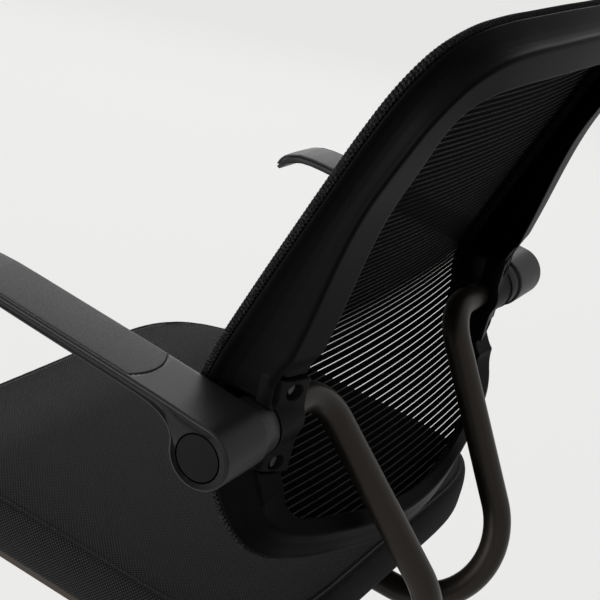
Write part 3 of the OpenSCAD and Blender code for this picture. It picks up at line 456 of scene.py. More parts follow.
def leanSlope(z):
    upper, lower = back["upperSlope"], back["lowerSlope"]
    return (upper - lower) / 2 + z / np.hypot(z, back["knee"]) * (upper + lower) / 2


def hollow(x):
    # the middle of the back lies behind its sides, as a parabola across the width
    return back["hollow"] * (1 - (x / back["halfWidth"]) ** 2)


def lipPoint(x, z):
    return np.stack([x, pivot[1] - back["lead"] + lean(z) + hollow(x), pivot[2] + z], -1)


def rearward(z):
    # the section's depth runs level beside the pivot and square to the lip further away
    z = np.asarray(z, float)
    levelled = smoothStep((np.abs(z) - back["levelHalf"]) / back["levelEase"])
    return unit(np.stack([0 * z, np.ones_like(z), -leanSlope(z) * levelled], -1))


def pocketFloorAt(z):
    # floor of the pocket in front of the pivot; below the knee it slopes to the rear
    return -back["pocketFloor"] + back["pocketSlope"] * np.maximum(0, -back["pocketKnee"] - z)


def fullDepth(z):
    # deep above the pocket and falling to the top; beside the pivot shallower and falling to the bottom edge
    high = eased(back["depth"], back["topDepth"], (z - back["depthTurn"]) / back["depthRun"])
    low = eased(back["sideDepth"], back["footDepth"], (-z - back["pocketHalf"]) / back["footRun"])
    return np.where(z > 0, high, low)


def footAt(z):
    return smoothStep((back["pocketHalf"] / 2 - z) / back["pocketHalf"])


def flangeAt(z):
    high = eased(back["flange"], back["flangeTop"], (z - back["flangeTopStart"]) / back["flangeTopRun"])
    low = eased(back["flangeSide"], back["flangeFoot"],
                (-z - back["flangeFootStart"]) / back["flangeFootRun"])
    return high + (low - high) * footAt(z)


def lipLoop():
    # half outline mirrored to a closed loop, set at even distances, corners softened
    half, height = back["halfWidth"], back["top"] + back["drop"]
    upper, foot = [np.array(back[part]) * [half, height] - [0, back["drop"]]
                   for part in ("upperOutline", "footOutline")]
    right = np.concatenate([upper, [[half, s * back["pocketHalf"]] for s in back["sideSteps"]], foot])
    left = right[-2:0:-1] * [-1, 1]
    loop, length = evenly(throughKeys(np.concatenate([right, left])), back["stations"], True)
    return softened(loop, back["cornerSoft"] / (length / back["stations"])), length


lipXZ, lipLength = lipLoop()
lip = lipPoint(lipXZ[:, 0], lipXZ[:, 1])
lipRear = rearward(lipXZ[:, 1])
lipOut = unit(np.cross(unit(np.roll(lip, -1, 0) - np.roll(lip, 1, 0)), lipRear))
lipOutSoft = unit(softened(lipOut, back["turnSoft"] / (lipLength / back["stations"])))
pocketEnds = back["partingTop"][0][1], back["partingLow"][-1][1]
lipRail = np.concatenate([lip, lipOut, lipRear, lipOutSoft, lipXZ], 1)
lipRail = np.concatenate([lipRail, lipRail[:1]])


def lipAt(at):
    # point, outward, rearward and softened outward direction, x and z, read between the stations of the lip
    rows = readAt(at % len(lip), np.arange(len(lipRail)), lipRail)
    return rows[..., :3], rows[..., 3:6], rows[..., 6:9], rows[..., 9:12], rows[..., 12], rows[..., 13]


def sectionPlaces():
    # distances of the side section's keys along its true length, and the even places along it
    keys = np.array(back["sideSection"] + back["sideSection"][:1], float)
    size = [[back["wallReach"], 0], [back["flange"], 0], [0, back["depth"]], [0, 0]]
    away = lengthAlong(keys @ np.array(size))
    return away, np.linspace(0, away[-1], back["sectionPoints"], endpoint=False)


def denseSection(rows):
    # a section's four shares at the even places, corners rounded
    away, at = sectionPlaces()
    dense = readAt(at, away, np.array(rows + rows[:1], float))
    return softened(dense, back["sectionSoft"] / (away[-1] / back["sectionPoints"])).T[:, None, :]


def wallPlaces():
    # section places of the outer wall, up to the ridge; the wall runs on past the pocket's corners
    away, at = sectionPlaces()
    return np.interp(at, away, np.arange(len(away))) < back["wallPoints"]


def partingAt(inward, upper):
    return np.interp(inward, *np.array(back["partingTop" if upper else "partingLow"]).T)


def frameRail():
    # places along the lip, closer together where the section steps down into the pocket
    top, low = pocketEnds
    z, x = lipXZ[:, 1], lipXZ[:, 0]
    past, width = back["stepPast"], back["stepWidth"]
    near = np.exp(-((z - top - past) / width) ** 2) + np.exp(-((z + low + past) / width) ** 2)
    dense = 1 + back["stepDense"] * near * (np.abs(x) > back["halfWidth"] * back["sideShare"])
    total = np.concatenate([[0], np.cumsum((dense + np.roll(dense, -1)) / 2)])
    even = np.linspace(0, total[-1], back["frameStations"], endpoint=False)
    return np.interp(even, total, np.arange(len(z) + 1))


def frameSurface():
    # lip - outward * wall share - flange direction * flange share + rearward * depth share; places beside
    # the pocket slide along the lip until one row of points follows each slanting parting line
    side, foot = denseSection(back["sideSection"]), denseSection(back["footSection"])
    around = frameRail()[:, None]
    x, z = lipAt(around)[4:]
    top, low = pocketEnds
    flat = 1 - smoothStep((np.where(z > 0, z - top, -z - low) - back["partingGap"]) / back["pocketRamp"])
    pocket = flat * smoothStep((np.abs(x) - back["halfWidth"] / 2) / back["pocketHalf"])
    share = side + (foot - side) * footAt(z)
    inward = share[0] * back["wallReach"] + share[1] * flangeAt(z)
    onWall = wallPlaces()[None, :]
    upper = top - np.where(onWall, back["wallTop"], partingAt(inward, True))
    lower = low - np.where(onWall, back["wallLow"], partingAt(inward, False))
    upper = upper * smoothStep(z / top) * smoothStep((back["topFade"] - z) / back["topFadeRun"])
    lower = lower * smoothStep(-z / low) * smoothStep((z + back["lowFade"]) / back["lowFadeRun"])
    slide = np.sign(x) * (upper - lower) / (lipLength / len(lip))
    beside = np.abs(x) > back["halfWidth"] * back["sideShare"]
    point, outward, rear, outSoft, x, z = lipAt(around + slide * beside)
    deep = share[2] + (share[3] - share[2]) * pocket
    shallow = pocketFloorAt(z) + back["lead"] - lean(z) - hollow(x)
    full = fullDepth(z)
    depth = back["trimBed"] + (full + (shallow - full) * pocket - back["trimBed"]) * deep
    pull = back["cornerPull"] * footAt(z) * smoothStep(
        (np.abs(x) / back["halfWidth"] - back["cornerStart"]) / back["cornerRun"])
    near = smoothStep((np.abs(z) - back["softFade"]) / back["softFadeRun"])[..., None]
    flange = unit(outward * (1 - near) + outSoft * near) + np.stack([np.sign(x) * pull, 0 * x, 0 * x], -1)
    wall, width = share[0] * back["wallReach"], share[1] * flangeAt(z)
    return point - unit(outward) * wall[..., None] - unit(flange) * width[..., None] + rear * depth[..., None]


print("back frame")
backFrame = gridPiece("backFrame", frameSurface(), finishes["frame_plastic"], True)
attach(backFrame, "upper")
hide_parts("back_frame")


trimLook = {"pitch": 0.0034, "ripple": 0.00028, "inset": back["trimRadius"],
            "behind": back["trimBed"] - back["trimRadius"] - back["seatGap"], "stations": 2280, "around": 20}
hemLook = {"pitch": 0.0088, "ripple": 0.0014, "radius": 0.0042, "inset": 0.0158, "behind": 0.0098,
           "stations": 1500, "around": 14}


def trimRadius(along, a):
    # ripples with each pair of slanting stitches
    slant = np.sin(math.tau * along / trimLook["pitch"] + 2 * a)
    counter = np.sin(math.tau * along / trimLook["pitch"] - 2 * a)
    return back["trimRadius"] - trimLook["ripple"] + trimLook["ripple"] * np.maximum(slant, counter)


def hemRadius(along, a):
    # ripples once for each loop
    loop = np.maximum(np.sin(math.tau * along / hemLook["pitch"] + a), 0.1) ** 0.7
    return hemLook["radius"] + hemLook["ripple"] * (loop - 0.5)


def cordSurface(look, soft, radiusAt):
    # circle carried round the lip: centre = lip - outward * inset + rearward * behind
    at = (np.arange(look["stations"]) * len(lip) / look["stations"])[:, None]
    point, outward, rear, outSoft = lipAt(at)[:4]
    out, rear = unit(outSoft if soft else outward), unit(rear)
    centre = point - out * look["inset"] + rear * look["behind"]
    along = at * lipLength / len(lip)
    a = turns(look["around"])[None, :]
    ring = (out * np.cos(a)[..., None] + rear * np.sin(a)[..., None]) * radiusAt(along, a)[..., None]
    return centre + ring, np.stack([along + 0 * a, np.abs(a / math.pi - 1) + 0 * along], -1)


print("knitted edge")
trimPoints, trimUv = cordSurface(trimLook, False, trimRadius)
hemPoints, hemUv = cordSurface(hemLook, True, hemRadius)
trimFaces = gridFaces(*trimPoints.shape[:2], True, True)
hemFaces = gridFaces(*hemPoints.shape[:2], True, True) + trimUv.shape[0] * trimUv.shape[1]
trimCord = meshPiece("knitTrim", np.concatenate([trimPoints.reshape(-1, 3), hemPoints.reshape(-1, 3)]),
                     np.concatenate([trimFaces, hemFaces]).tolist(), finishes["knit_trim"],
                     np.concatenate([trimUv.reshape(-1, 2), hemUv.reshape(-1, 2)]))
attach(trimCord, "upper")
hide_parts("mesh_trim")


def meshSurface():
    # rows at the heights of the cord's inner edge, columns across; each point lies on the lip's own surface
    inner = (lip - lipOut * knit["inset"])[:len(lip) // 2 + 1]
    z = np.minimum.accumulate(inner[:, 2] - pivot[2] - 1e-6 * np.arange(len(inner)))
    skip, edge = knit["skipRows"], knit["edgeRows"]
    even = np.linspace(z[edge], z[-edge], knit["rows"])[1:-1]
    rows = np.concatenate([z[skip:edge], even, z[-edge:-skip]])
    half = np.interp(-rows, -z, np.maximum(inner[:, 0], knit["leastHalf"]))
    x = half[:, None] * np.linspace(-1, 1, knit["columns"])[None, :]
    height = rows[:, None] + 0 * x
    points = lipPoint(x, height) + rearward(height) * trimLook["behind"]
    climb = np.concatenate([[0], np.cumsum(np.hypot(np.diff(rows), np.diff(lean(rows))))])
    return points, np.stack([x, climb[:, None] + 0 * x], -1), climb[-1]


print("mesh")
meshPoints, meshUv, meshLength = meshSurface()
meshSheet = gridPiece("backMesh", meshPoints, finishes["mesh_fabric"], uv=meshUv)
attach(meshSheet, "upper")
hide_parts("back_mesh")
meshLength * 0.98


tube = {"radius": 0.0131, "wall": 0.002, "kneeX": 0.125, "heelBack": 0.206, "heelDrop": 0.261,
        "lowHalf": 0.048, "front": 0.080, "start": 0.198, "topBend": 0.042, "lowBend": 0.076, "step": 0.0025,
        "around": 56, "ringUp": [0.35, 0.2, 0.92]}


def bentPath(corners, bends, step):
    # straights joined by arcs that touch both; each arc is centre + radius * (start * cos + travel * sin)
    pts = [corners[:1]]
    for k, bend in enumerate(bends):
        before, at, after = corners[k], corners[k + 1], corners[k + 2]
        u, v = unit(before - at), unit(after - at)
        inside = math.acos(float(u @ v))
        reach = bend / math.tan(inside / 2)
        centre = at + unit(u + v) * math.hypot(bend, reach)
        start = unit(at + u * reach - centre)
        turn = np.linspace(0, math.pi - inside, 60)[:, None]
        pts.append(centre + bend * (start * np.cos(turn) - u * np.sin(turn)))
    pts.append(corners[-1:])
    line = np.concatenate(pts)
    length = np.linalg.norm(np.diff(line, axis=0), axis=1).sum()
    return evenly(line, int(length / step))[0]


def tubeSurface(side):
    # ring carried along the bent path, outside wall one way and inside wall back, closed at both mouths
    y, z = pivot[1], pivot[2]
    corners = np.array([[tube["start"], y, z], [tube["kneeX"], y, z],
                        [tube["lowHalf"], y + tube["heelBack"], z - tube["heelDrop"]],
                        [tube["lowHalf"], -tube["front"], z - tube["heelDrop"]]]) * [side, 1, 1]
    path = bentPath(corners, [tube["topBend"], tube["lowBend"]], tube["step"])
    along = unit(np.gradient(path, axis=0))
    across = unit(np.cross(along, tube["ringUp"]))
    up = np.cross(across, along)
    a = turns(tube["around"])
    ring = across[:, None] * np.cos(a)[:, None] + up[:, None] * np.sin(a)[:, None]
    outer = path[:, None] + ring * tube["radius"]
    inner = path[:, None] + ring * (tube["radius"] - tube["wall"])
    return np.concatenate([outer, inner[::-1]])


print("tubes")
for side, word in sides:
    bentTube = gridPiece("tube" + word.capitalize(), tubeSurface(side), finishes["tube_paint"], True)
    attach(bentTube, "upper")
    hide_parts("tube_" + word)


arm = {"inner": 0.242, "outer": 0.298, "hub": 0.026, "neck": 0.0235, "neckStart": 0.2234, "neckEase": 0.0008,
       "capHole": 0.0192, "capDepth": 0.0042, "edge": 0.0024, "padSink": 0.0022, "padGroove": 0.0031,
       "padStart": -0.0655, "padBow": 0.0105, "padRamp": 0.0009, "padLow": 0.0175, "spacing": 0.0009,
       "soft": 0.0011, "around": 96, "tipStart": 0.262, "tipRun": 0.034, "tipEnd": 0.285, "tipSqueeze": 0.0135,
       # side view from the pivot in mm, after the hub circle: under side to the tip, then back over the top
       "under": [[-26.6, 3.5], [-29.6, 9.6], [-34, 14], [-41, 17.6], [-51, 20.6], [-65.6, 22.5], [-90, 24.6],
                 [-130, 27.6], [-170, 30.8], [-205, 33.8], [-229, 35.6], [-245, 36], [-257, 35], [-266, 32],
                 [-275, 27], [-281, 21.5], [-287, 16.2], [-290.5, 15.2], [-293.4, 17]],
       "over": [[-293.6, 20.5], [-290, 27], [-283, 34], [-273, 40], [-261, 43.8], [-247, 45], [-230, 44.8],
                [-205, 43.1], [-170, 40.4], [-130, 37.3], [-90, 34.2], [-65.6, 32.2], [-48, 30.7], [-30, 29],
                [-14, 27.2]]}
armMiddle, armHalf = (arm["inner"] + arm["outer"]) / 2, (arm["outer"] - arm["inner"]) / 2


def armOutline():
    # hub circle from its top over the rear and under to the front, then the blade's lines; inward normals
    a = np.linspace(math.radians(88), math.radians(-177), 60)
    circle = arm["hub"] * np.stack([np.cos(a), np.sin(a)], -1)
    keys = np.concatenate([circle, np.array(arm["under"]) / 1000, np.array(arm["over"]) / 1000])
    length = evenly(keys, 10, True)[1]
    count = int(length / arm["spacing"])
    line = softened(evenly(keys, count, True)[0], arm["soft"] / (length / count))
    ahead = unit(np.roll(line, -1, 0) - np.roll(line, 1, 0))
    return line, np.stack([ahead[:, 1], -ahead[:, 0]], -1)


def padEdge(x):
    # rear end of the pad: a parabola bowed towards the hub
    return arm["padStart"] - arm["padBow"] * ((x - armMiddle) / armHalf) ** 2


def squeezed(x, y):
    # the blade and its pad get narrower over the tip
    tip = smoothStep((-y - arm["tipStart"]) / arm["tipRun"])
    return armMiddle + (x - armMiddle) * (1 - arm["tipSqueeze"] * tip ** 2 / armHalf)


def armSurface():
    # outline moved in along its normal by the rounded edge and the pad's bed, for each place across
    line, normal = armOutline()
    e, x0, x1 = arm["edge"], arm["inner"], arm["outer"]
    turn = np.linspace(0, math.pi / 2, 7)  # places round each edge; 13 more to the groove and 2 at it
    rim = x1 - arm["padGroove"]
    across = np.concatenate([x0 + e * (1 - np.cos(turn)), np.linspace(x0 + e, rim - 0.0004, 14)[1:],
                             [rim, rim + 0.0004], x1 - e * (1 - np.cos(turn[::-1]))])
    inset = np.concatenate([e * (1 - np.sin(turn)), np.zeros(15), e * (1 - np.sin(turn[::-1]))])
    inset[[0, -1]] = e
    y, z = line[:, :1], line[:, 1:]
    x = squeezed(across[None, :], y)
    topSide = (z > arm["padLow"]) & ((normal[:, 1:] < 0) | (y < -arm["tipEnd"]))
    bed = np.clip((padEdge(x) - y) / arm["padRamp"], 0, 1) * topSide * (across < rim + 0.0002)[None, :]
    move = inset[None, :] + bed * arm["padSink"]
    return np.stack([x, pivot[1] + (y + normal[:, :1] * move), pivot[2] + (z + normal[:, 1:] * move)], -1)


def armPiece(name, side):
    # blade with hub, keyhole face round the cap's recess, recess wall and floor, neck towards the back
    blade = armSurface()
    rows, columns = blade.shape[:2]
    count = arm["around"]
    a = turns(count)
    circle = np.stack([0 * a, np.cos(a), np.sin(a)], -1)
    rings = [circle * r + [x, pivot[1], pivot[2]] for r, x in (
        (arm["capHole"], arm["outer"]), (arm["capHole"], arm["outer"] - arm["capDepth"]),
        (arm["neck"] - arm["neckEase"], arm["neckStart"]), (arm["neck"], arm["neckStart"] + arm["neckEase"]),
        (arm["neck"], arm["inner"] + 0.001))]
    hole, floorRing, neck = [rows * columns + k * count for k in range(3)]
    polygons = gridFaces(rows, columns, True, False).tolist()
    polygons += (gridFaces(2, count, False, True) + hole).tolist() + [[floorRing + k for k in range(count)]]
    outerRing = [r * columns + columns - 1 for r in range(rows)]
    innerRing = [r * columns for r in range(rows)]
    spot = int(np.argmin(np.linalg.norm(blade[:, -1, 1:] - rings[0][0, 1:], axis=1)))
    ringRound = outerRing[spot:] + outerRing[:spot + 1]
    polygons += [ringRound + [hole] + [hole + k for k in range(count - 1, -1, -1)], innerRing]
    polygons += (gridFaces(3, count, False, True) + neck).tolist() + [[neck + k for k in range(count)]]
    points = np.concatenate([blade.reshape(-1, 3)] + rings) * [side, 1, 1]
    return meshPiece(name, points, polygons, finishes["arm_plastic"], outward=False)


print("arms")
for side, word in sides:
    armMade = armPiece("arm" + word.capitalize(), side)
    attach(armMade, "arm_" + word)
    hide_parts("arm_" + word)


cover = {"inner": 0.1872, "outer": 0.2318, "neckEdge": 0.2230, "neckClear": 0.0239, "gap": 0.0005,
         "spacing": 0.00055, "corner": 0.0022, "rim": 0.0011, "boss": 0.0234, "blend": 0.0022,
         "under": 0.00015, "box": [0.1862, 0.2332, -0.0488, 0.0512],
         # rear face from the opening outwards: distance from the middle, distance behind the pivot
         "rear": [[0.187, 0.0198], [0.200, 0.0180], [0.212, 0.0152], [0.221, 0.0131], [0.2285, 0.0121],
                  [0.2305, 0.0104], [0.2325, 0.0066]],
         "foldAt": 0.2243, "foldLean": 0.03, "foldWidth": 0.0024, "foldDepth": 0.0042,
         "foldLevel": 0.03, "foldEnd": 0.86, "foldEase": 0.006, "recessWall": 0.42,
         # oval recesses: middle across and up, half sizes across and up, depth
         "recesses": [[0.2035, 0.0293, 0.0096, 0.0075, 0.0066], [0.2046, -0.0332, 0.0090, 0.0070, 0.0062]]}


def roundedMeet(a, b, r):
    # least of two distances, with the corner between them rounded
    near = (a < r) & (b < r)
    return np.where(near, r - np.hypot(np.maximum(r - a, 0), np.maximum(r - b, 0)), np.minimum(a, b))


def plateRear(x):
    # rear line of the plate, its corners rounded by the mean of seven places
    return sum(np.interp(x + k, *np.array(cover["rear"]).T) for k in np.linspace(-0.0016, 0.0016, 7)) / 7


def coverUnder(x, z):
    # parting plane with the bracket; beside the arm's neck the cover's underside follows the neck
    neck = np.sqrt(np.maximum(cover["neckClear"] ** 2 - z ** 2, 0)) * (x > cover["neckEdge"] - 0.0002)
    return np.maximum(cover["under"], neck)


def betweenPartings(x, z, reach=1.0):
    # distance in from the nearer parting line; both lines end at the given reach from the pivot
    inward = back["halfWidth"] - x
    top = np.minimum(partingAt(inward, True), reach) - cover["gap"] - z
    low = z + np.minimum(partingAt(inward, False), reach) - cover["gap"]
    return np.minimum(top, low)


def coverInside(x, z):
    # distance in from the cover's outline; the neck of the arm is left free
    r = cover["corner"]
    plate = roundedMeet(roundedMeet(x - cover["inner"], cover["outer"] - x, r), betweenPartings(x, z), r)
    neck = np.sqrt(np.maximum(cover["neckClear"] ** 2 - plateRear(x) ** 2, 0))
    return np.minimum(plate, np.maximum(cover["neckEdge"] - x, np.abs(z) - neck))


def coverRear(x, z, inside):
    # plate sloping outwards, smooth maximum with the boss, less the fold, the recesses and the rounded rim
    plate = plateRear(x)
    boss = np.sqrt(np.maximum(cover["boss"] ** 2 - z ** 2, 0)) * (x < cover["neckEdge"] + 0.0003)
    y = (plate + boss + np.hypot(plate - boss, cover["blend"])) / 2 - cover["blend"] / 6
    fold = cover["foldAt"] + cover["foldLean"] * (np.abs(z) - cover["foldLevel"])
    clear = smoothStep((np.abs(z) - cover["boss"] * cover["foldEnd"]) / cover["foldEase"])
    y = y - cover["foldDepth"] * np.exp(-((x - fold) / cover["foldWidth"]) ** 2) * clear
    for cx, cz, ax, az, deep in cover["recesses"]:
        e = np.hypot((x - cx) / ax, (z - cz) / az)
        y = y - deep * smoothStep((1 - e) / cover["recessWall"])
    r = cover["rim"]
    away = np.clip(r - inside, 0, r)
    return np.maximum(y - (r - np.sqrt(r * r - away * away)), coverUnder(x, z) + 0.0004)


def heightPiece(name, side, inside, above, below, look, material):
    # points inside the outline, the outer ones set onto it; rear face, front face and a wall between them
    spacing, box = look["spacing"], look["box"]
    xs, zs = np.arange(box[0], box[1], spacing), np.arange(box[2], box[3], spacing)
    x, z = np.meshgrid(xs, zs, indexing="ij")
    for _ in range(3):
        d = inside(x, z)
        gx = (inside(x + 1e-5, z) - inside(x - 1e-5, z)) / 2e-5
        gz = (inside(x, z + 1e-5) - inside(x, z - 1e-5)) / 2e-5
        edge = (d > -0.8 * spacing) & (d < 0.3 * spacing)
        x = np.where(edge, x - d * gx, x)
        z = np.where(edge, z - d * gz, z)
    d = inside(x, z)
    good = d > -0.25 * spacing
    quads = gridFaces(len(xs), len(zs), False, False)
    quads = quads[good.ravel()[quads].all(1)]
    used, quads = np.unique(quads, return_inverse=True)
    quads = quads.reshape(-1, 4)
    x, z, d = x.ravel()[used], z.ravel()[used], d.ravel()[used]
    rear = np.stack([x, above(x, z, d), z], -1)
    front = np.stack([x, below(x, z), z], -1)
    count = len(used)
    edges = np.stack([quads, np.roll(quads, -1, 1)], -1).reshape(-1, 2)
    keys = edges[:, 0] * count + edges[:, 1]
    rim = edges[~np.isin(keys, edges[:, 1] * count + edges[:, 0])]
    wall = np.stack([rim[:, 1], rim[:, 0], rim[:, 0] + count, rim[:, 1] + count], -1)
    polygons = np.concatenate([quads, quads[:, ::-1] + count, wall]).tolist()
    points = (np.concatenate([rear, front]) + pivot) * [side, 1, 1]
    return meshPiece(name, points, polygons, material)


bracket = {"inner": 0.1872, "outer": 0.2185, "sleeveInner": 0.165, "sleeve": 0.0166, "reach": 0.0455,
           "neckEdge": 0.2062, "spacing": 0.0008, "box": [0.164, 0.229, -0.048, 0.048]}


def bracketInside(x, z):
    # the cover's outline kept clear of the frame's wall, and the half sleeve under the tube
    sideways = np.minimum(x - bracket["inner"], bracket["outer"] - x)
    plate = np.minimum(sideways, betweenPartings(x, z, bracket["reach"]))
    plate = np.minimum(plate, np.maximum(bracket["neckEdge"] - x, np.abs(z) - cover["neckClear"] - 0.0006))
    sleeve = np.minimum(np.minimum(x - bracket["sleeveInner"], bracket["outer"] - x),
                        bracket["sleeve"] * 0.995 - np.abs(z))
    return np.maximum(plate, np.minimum(sleeve, bracket["neckEdge"] - x))


def bracketFront(x, z):
    # half sleeve under the tube, and the plate down to the pocket's floor
    sleeve = -np.sqrt(np.maximum(bracket["sleeve"] ** 2 - z ** 2, 0.001 ** 2))
    floorY = np.minimum(pocketFloorAt(z) + back["seatGap"], sleeve)
    return eased(sleeve, floorY, (x - bracket["inner"] + 0.0008) / 0.0008)


def bracketRear(x, z, inside):
    return -cover["under"] + 0 * x


print("brackets and covers")
for side, word in sides:
    bracketMade = heightPiece("bracket" + word.capitalize(), side, bracketInside, bracketRear, bracketFront,
                              bracket, finishes["bracket_plastic"])
    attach(bracketMade, "upper")
    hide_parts("bracket_" + word)
for side, word in sides:
    coverMade = heightPiece("bracketCover" + word.capitalize(), side, coverInside, coverRear, coverUnder,
                            cover, finishes["bracket_plastic"])
    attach(coverMade, "upper")
    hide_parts("bracket_cover_" + word)


pad = {"inner": 0.0006, "outer": 0.0035, "rear": 0.0004, "crown": 0.0007, "rounding": 0.0012, "rows": 210,
       "across": 26, "floorGap": 0.0001, "tipHeight": 0.0182, "rearHeight": 0.026, "rearEnd": 0.05}


def rounded(away, r):
    # height share of a quarter round of radius r, over the distance from the edge
    return np.sqrt(np.clip(1 - ((r - np.minimum(away, r)) / r) ** 2, 0, 1))


def padSurface(side):
    # flat pill carried along the blade's top line; its rear end follows the bowed edge of the bed
    line, normal = armOutline()
    top = normal[:, 1] < 0
    start = int(np.argmax(top & (line[:, 1] > pad["tipHeight"]) & (line[:, 0] < -arm["tipEnd"])))
    behind = top & (line[:, 1] > pad["rearHeight"])
    stop = int(np.argmin(np.where(behind, np.abs(line[:, 0] + pad["rearEnd"]), 9)))
    run, up = line[start:stop + 1][::-1], -normal[start:stop + 1][::-1]
    length = lengthAlong(run)
    x0, x1 = arm["inner"] + pad["inner"], arm["outer"] - pad["outer"]
    t = (1 - np.cos(np.linspace(0, math.pi, pad["across"]))) / 2
    s = (1 - np.cos(np.linspace(0, math.pi, pad["rows"])))[:, None] / 2
    first = np.interp(pad["rear"] - padEdge(x0 + (x1 - x0) * t), -run[:, 0], length)
    at = first + s * (length[-1] - first)
    body = np.minimum(rounded(np.minimum(t, 1 - t) * (x1 - x0), pad["rounding"]),
                      rounded(np.minimum(at - first, length[-1] - at), pad["rounding"]))
    y, z, ny, nz = [np.interp(at, length, values) for values in (*run.T, *up.T)]
    x = squeezed(x0 + (x1 - x0) * t, y)
    low = -arm["padSink"] + pad["floorGap"]
    middle = low * 0.35
    dome = pad["crown"] * np.sin(np.pi * t) ** 0.6
    upper, lower = [np.stack([x, y + ny * rise, z + nz * rise], -1)
                    for rise in (middle + (dome - middle) * body, middle + (low - middle) * body)]
    return (np.concatenate([upper, lower[:, ::-1]], 1) + pivot) * [side, 1, 1]


print("arm pads")
for side, word in sides:
    padPoints = padSurface(side)
    rows, columns = padPoints.shape[:2]
    strip = np.arange(columns // 2 - 1)
    endStrip = np.stack([strip, strip + 1, columns - 2 - strip, columns - 1 - strip], -1)
    polygons = np.concatenate([gridFaces(rows, columns, False, True), endStrip[:, ::-1],
                               endStrip + (rows - 1) * columns]).tolist()
    padMade = meshPiece("armPad" + word.capitalize(), padPoints, polygons, finishes["pad_rubber"])
    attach(padMade, "arm_" + word)
    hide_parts("arm_pad_" + word)


seat = {"halfX": 0.241, "halfY": 0.220, "top": 0.455, "height": 0.060, "power": 5.56, "frontFall": 0.012,
        "across": 66, "pullIn": 0.0025, "smaller": 0.0022, "cap": 0.0042, "frames": 20,
        "fallFrom": 0.45, "fallRun": 0.5,
        "cloth": {"quality": 5, "mass": 0.25, "tension_stiffness": 12.0, "compression_stiffness": 12.0,
                  "shear_stiffness": 8.0, "bending_stiffness": 0.6, "use_pressure": True,
                  "uniform_pressure_force": 4.0},
        # ripples beside the seam: height, pitch, start; and how far the seam lies in and down
        "ripples": [[0.00022, 0.011, 0.0], [0.00016, 0.0173, 1.3]], "seamIn": 0.0011, "seamDown": 0.0005,
        # side from the top to the underside: inset, drop below the crown; rows of the top's edge and the seam
        "side": [[0.072, 0], [0.036, 0.0007], [0.0169, 0.0021], [0.011, 0.0034], [0.0075, 0.0052],
                 [0.0058, 0.007], [0.0048, 0.0078], [0.0034, 0.0094], [0.0019, 0.013], [0.0008, 0.019],
                 [0, 0.027], [0, 0.034], [0, 0.041], [0, 0.048], [0.0004, 0.053], [0.0014, 0.0566],
                 [0.0032, 0.0588], [0.0072, 0.06]],
        "topRing": 4, "seamRow": 6}


def planShape(s, t, inset):
    # square to superellipse: (s, t) * max(|s|, |t|) / (|s|^p + |t|^p)^(1/p), sides drawn in a little
    p = seat["power"]
    norm = (np.abs(s) ** p + np.abs(t) ** p) ** (1 / p)
    g = np.where(norm > 0, np.maximum(np.abs(s), np.abs(t)) / np.maximum(norm, 1e-9), 1)
    pull = seat["pullIn"]
    x = s * g * (seat["halfX"] - inset - pull * (1 - t ** 2) ** 2)
    return x, t * g * (seat["halfY"] - inset - pull * (1 - s ** 2) ** 2)


def seatFall(y, drop):
    share = np.clip(drop / seat["height"], 0, 1)
    ahead = smoothStep((-y / seat["halfY"] - seat["fallFrom"]) / seat["fallRun"])
    return seat["frontFall"] * ahead * (1 - share)


def seatMesh():
    # top grid, side rows and bottom grid share their border loops; the UV map is in metres on each of them
    n = seat["across"]
    side = np.array(seat["side"]) + [seat["smaller"], 0]
    ring = seat["topRing"]
    edgeInset = side[ring, 0]
    g = np.linspace(-1, 1, n)
    s, t = np.meshgrid(g, g, indexing="ij")
    x, y = planShape(s, t, edgeInset)
    inset = edgeInset + (1 - np.maximum(np.abs(s), np.abs(t))) * seat["halfY"]
    drop = np.interp(inset, side[ring::-1, 0], side[ring::-1, 1])
    topPoints = np.stack([x, y, seat["top"] - drop - seat["smaller"] - seatFall(y, drop)], -1).reshape(-1, 3)
    index = np.arange(n * n).reshape(n, n)
    border = np.concatenate([index[:-1, 0], index[-1, :-1], index[:0:-1, -1], index[0, :0:-1]])
    bs, bt = s.ravel()[border], t.ravel()[border]
    rows = []
    for k in range(ring + 1, len(side)):
        bx, by = planShape(bs, bt, side[k, 0])
        low = side[k, 1] + seat["smaller"] * (1 - side[k, 1] / seat["height"])
        rows.append(np.stack([bx, by, seat["top"] - low - seatFall(by, side[k, 1])], -1))
    bx, by = planShape(s, t, side[-1, 0])
    bottomPoints = np.stack([bx, by, 0 * bx + seat["top"] - seat["height"]], -1).reshape(-1, 3)
    m = len(border)
    rowStart = n * n + np.arange(len(rows)) * m
    bottomStart = n * n + (len(rows) - 1) * m
    points = np.concatenate([topPoints] + rows[:-1] + [bottomPoints])
    topFaces = gridFaces(n, n, False, False)
    loops = [border] + [start + np.arange(m) for start in rowStart[:-1]] + [border + bottomStart]
    faces, uvs = [topFaces], [points[topFaces][..., :2]]
    along = lengthAlong(np.concatenate([rows[3], rows[3][:1]]))
    down = 0.0
    for a, b in zip(loops[:-1], loops[1:]):
        faces.append(np.stack([a, b, np.roll(b, -1), np.roll(a, -1)], -1))
        fall = float(np.linalg.norm(points[b] - points[a], axis=1).mean())
        u0, u1 = along[:-1], along[1:]
        uvs.append(np.stack([np.stack([u, 0 * u - v], -1) for u, v in (
            (u0, down), (u0, down + fall), (u1, down + fall), (u1, down))], 1))
        down += fall
    bottomFaces = topFaces[:, ::-1] + bottomStart
    faces.append(bottomFaces)
    uvs.append(points[bottomFaces][..., :2])
    held = np.concatenate([np.arange(bottomStart, len(points))] + loops[-4:-1] +
                          [loops[seat["seamRow"] - ring]])
    return points, np.concatenate(faces), np.concatenate(uvs), held, loops


def placesOf(piece):
    places = np.empty(len(piece.data.vertices) * 3)
    piece.data.vertices.foreach_get("co", places)
    return places.reshape(-1, 3)


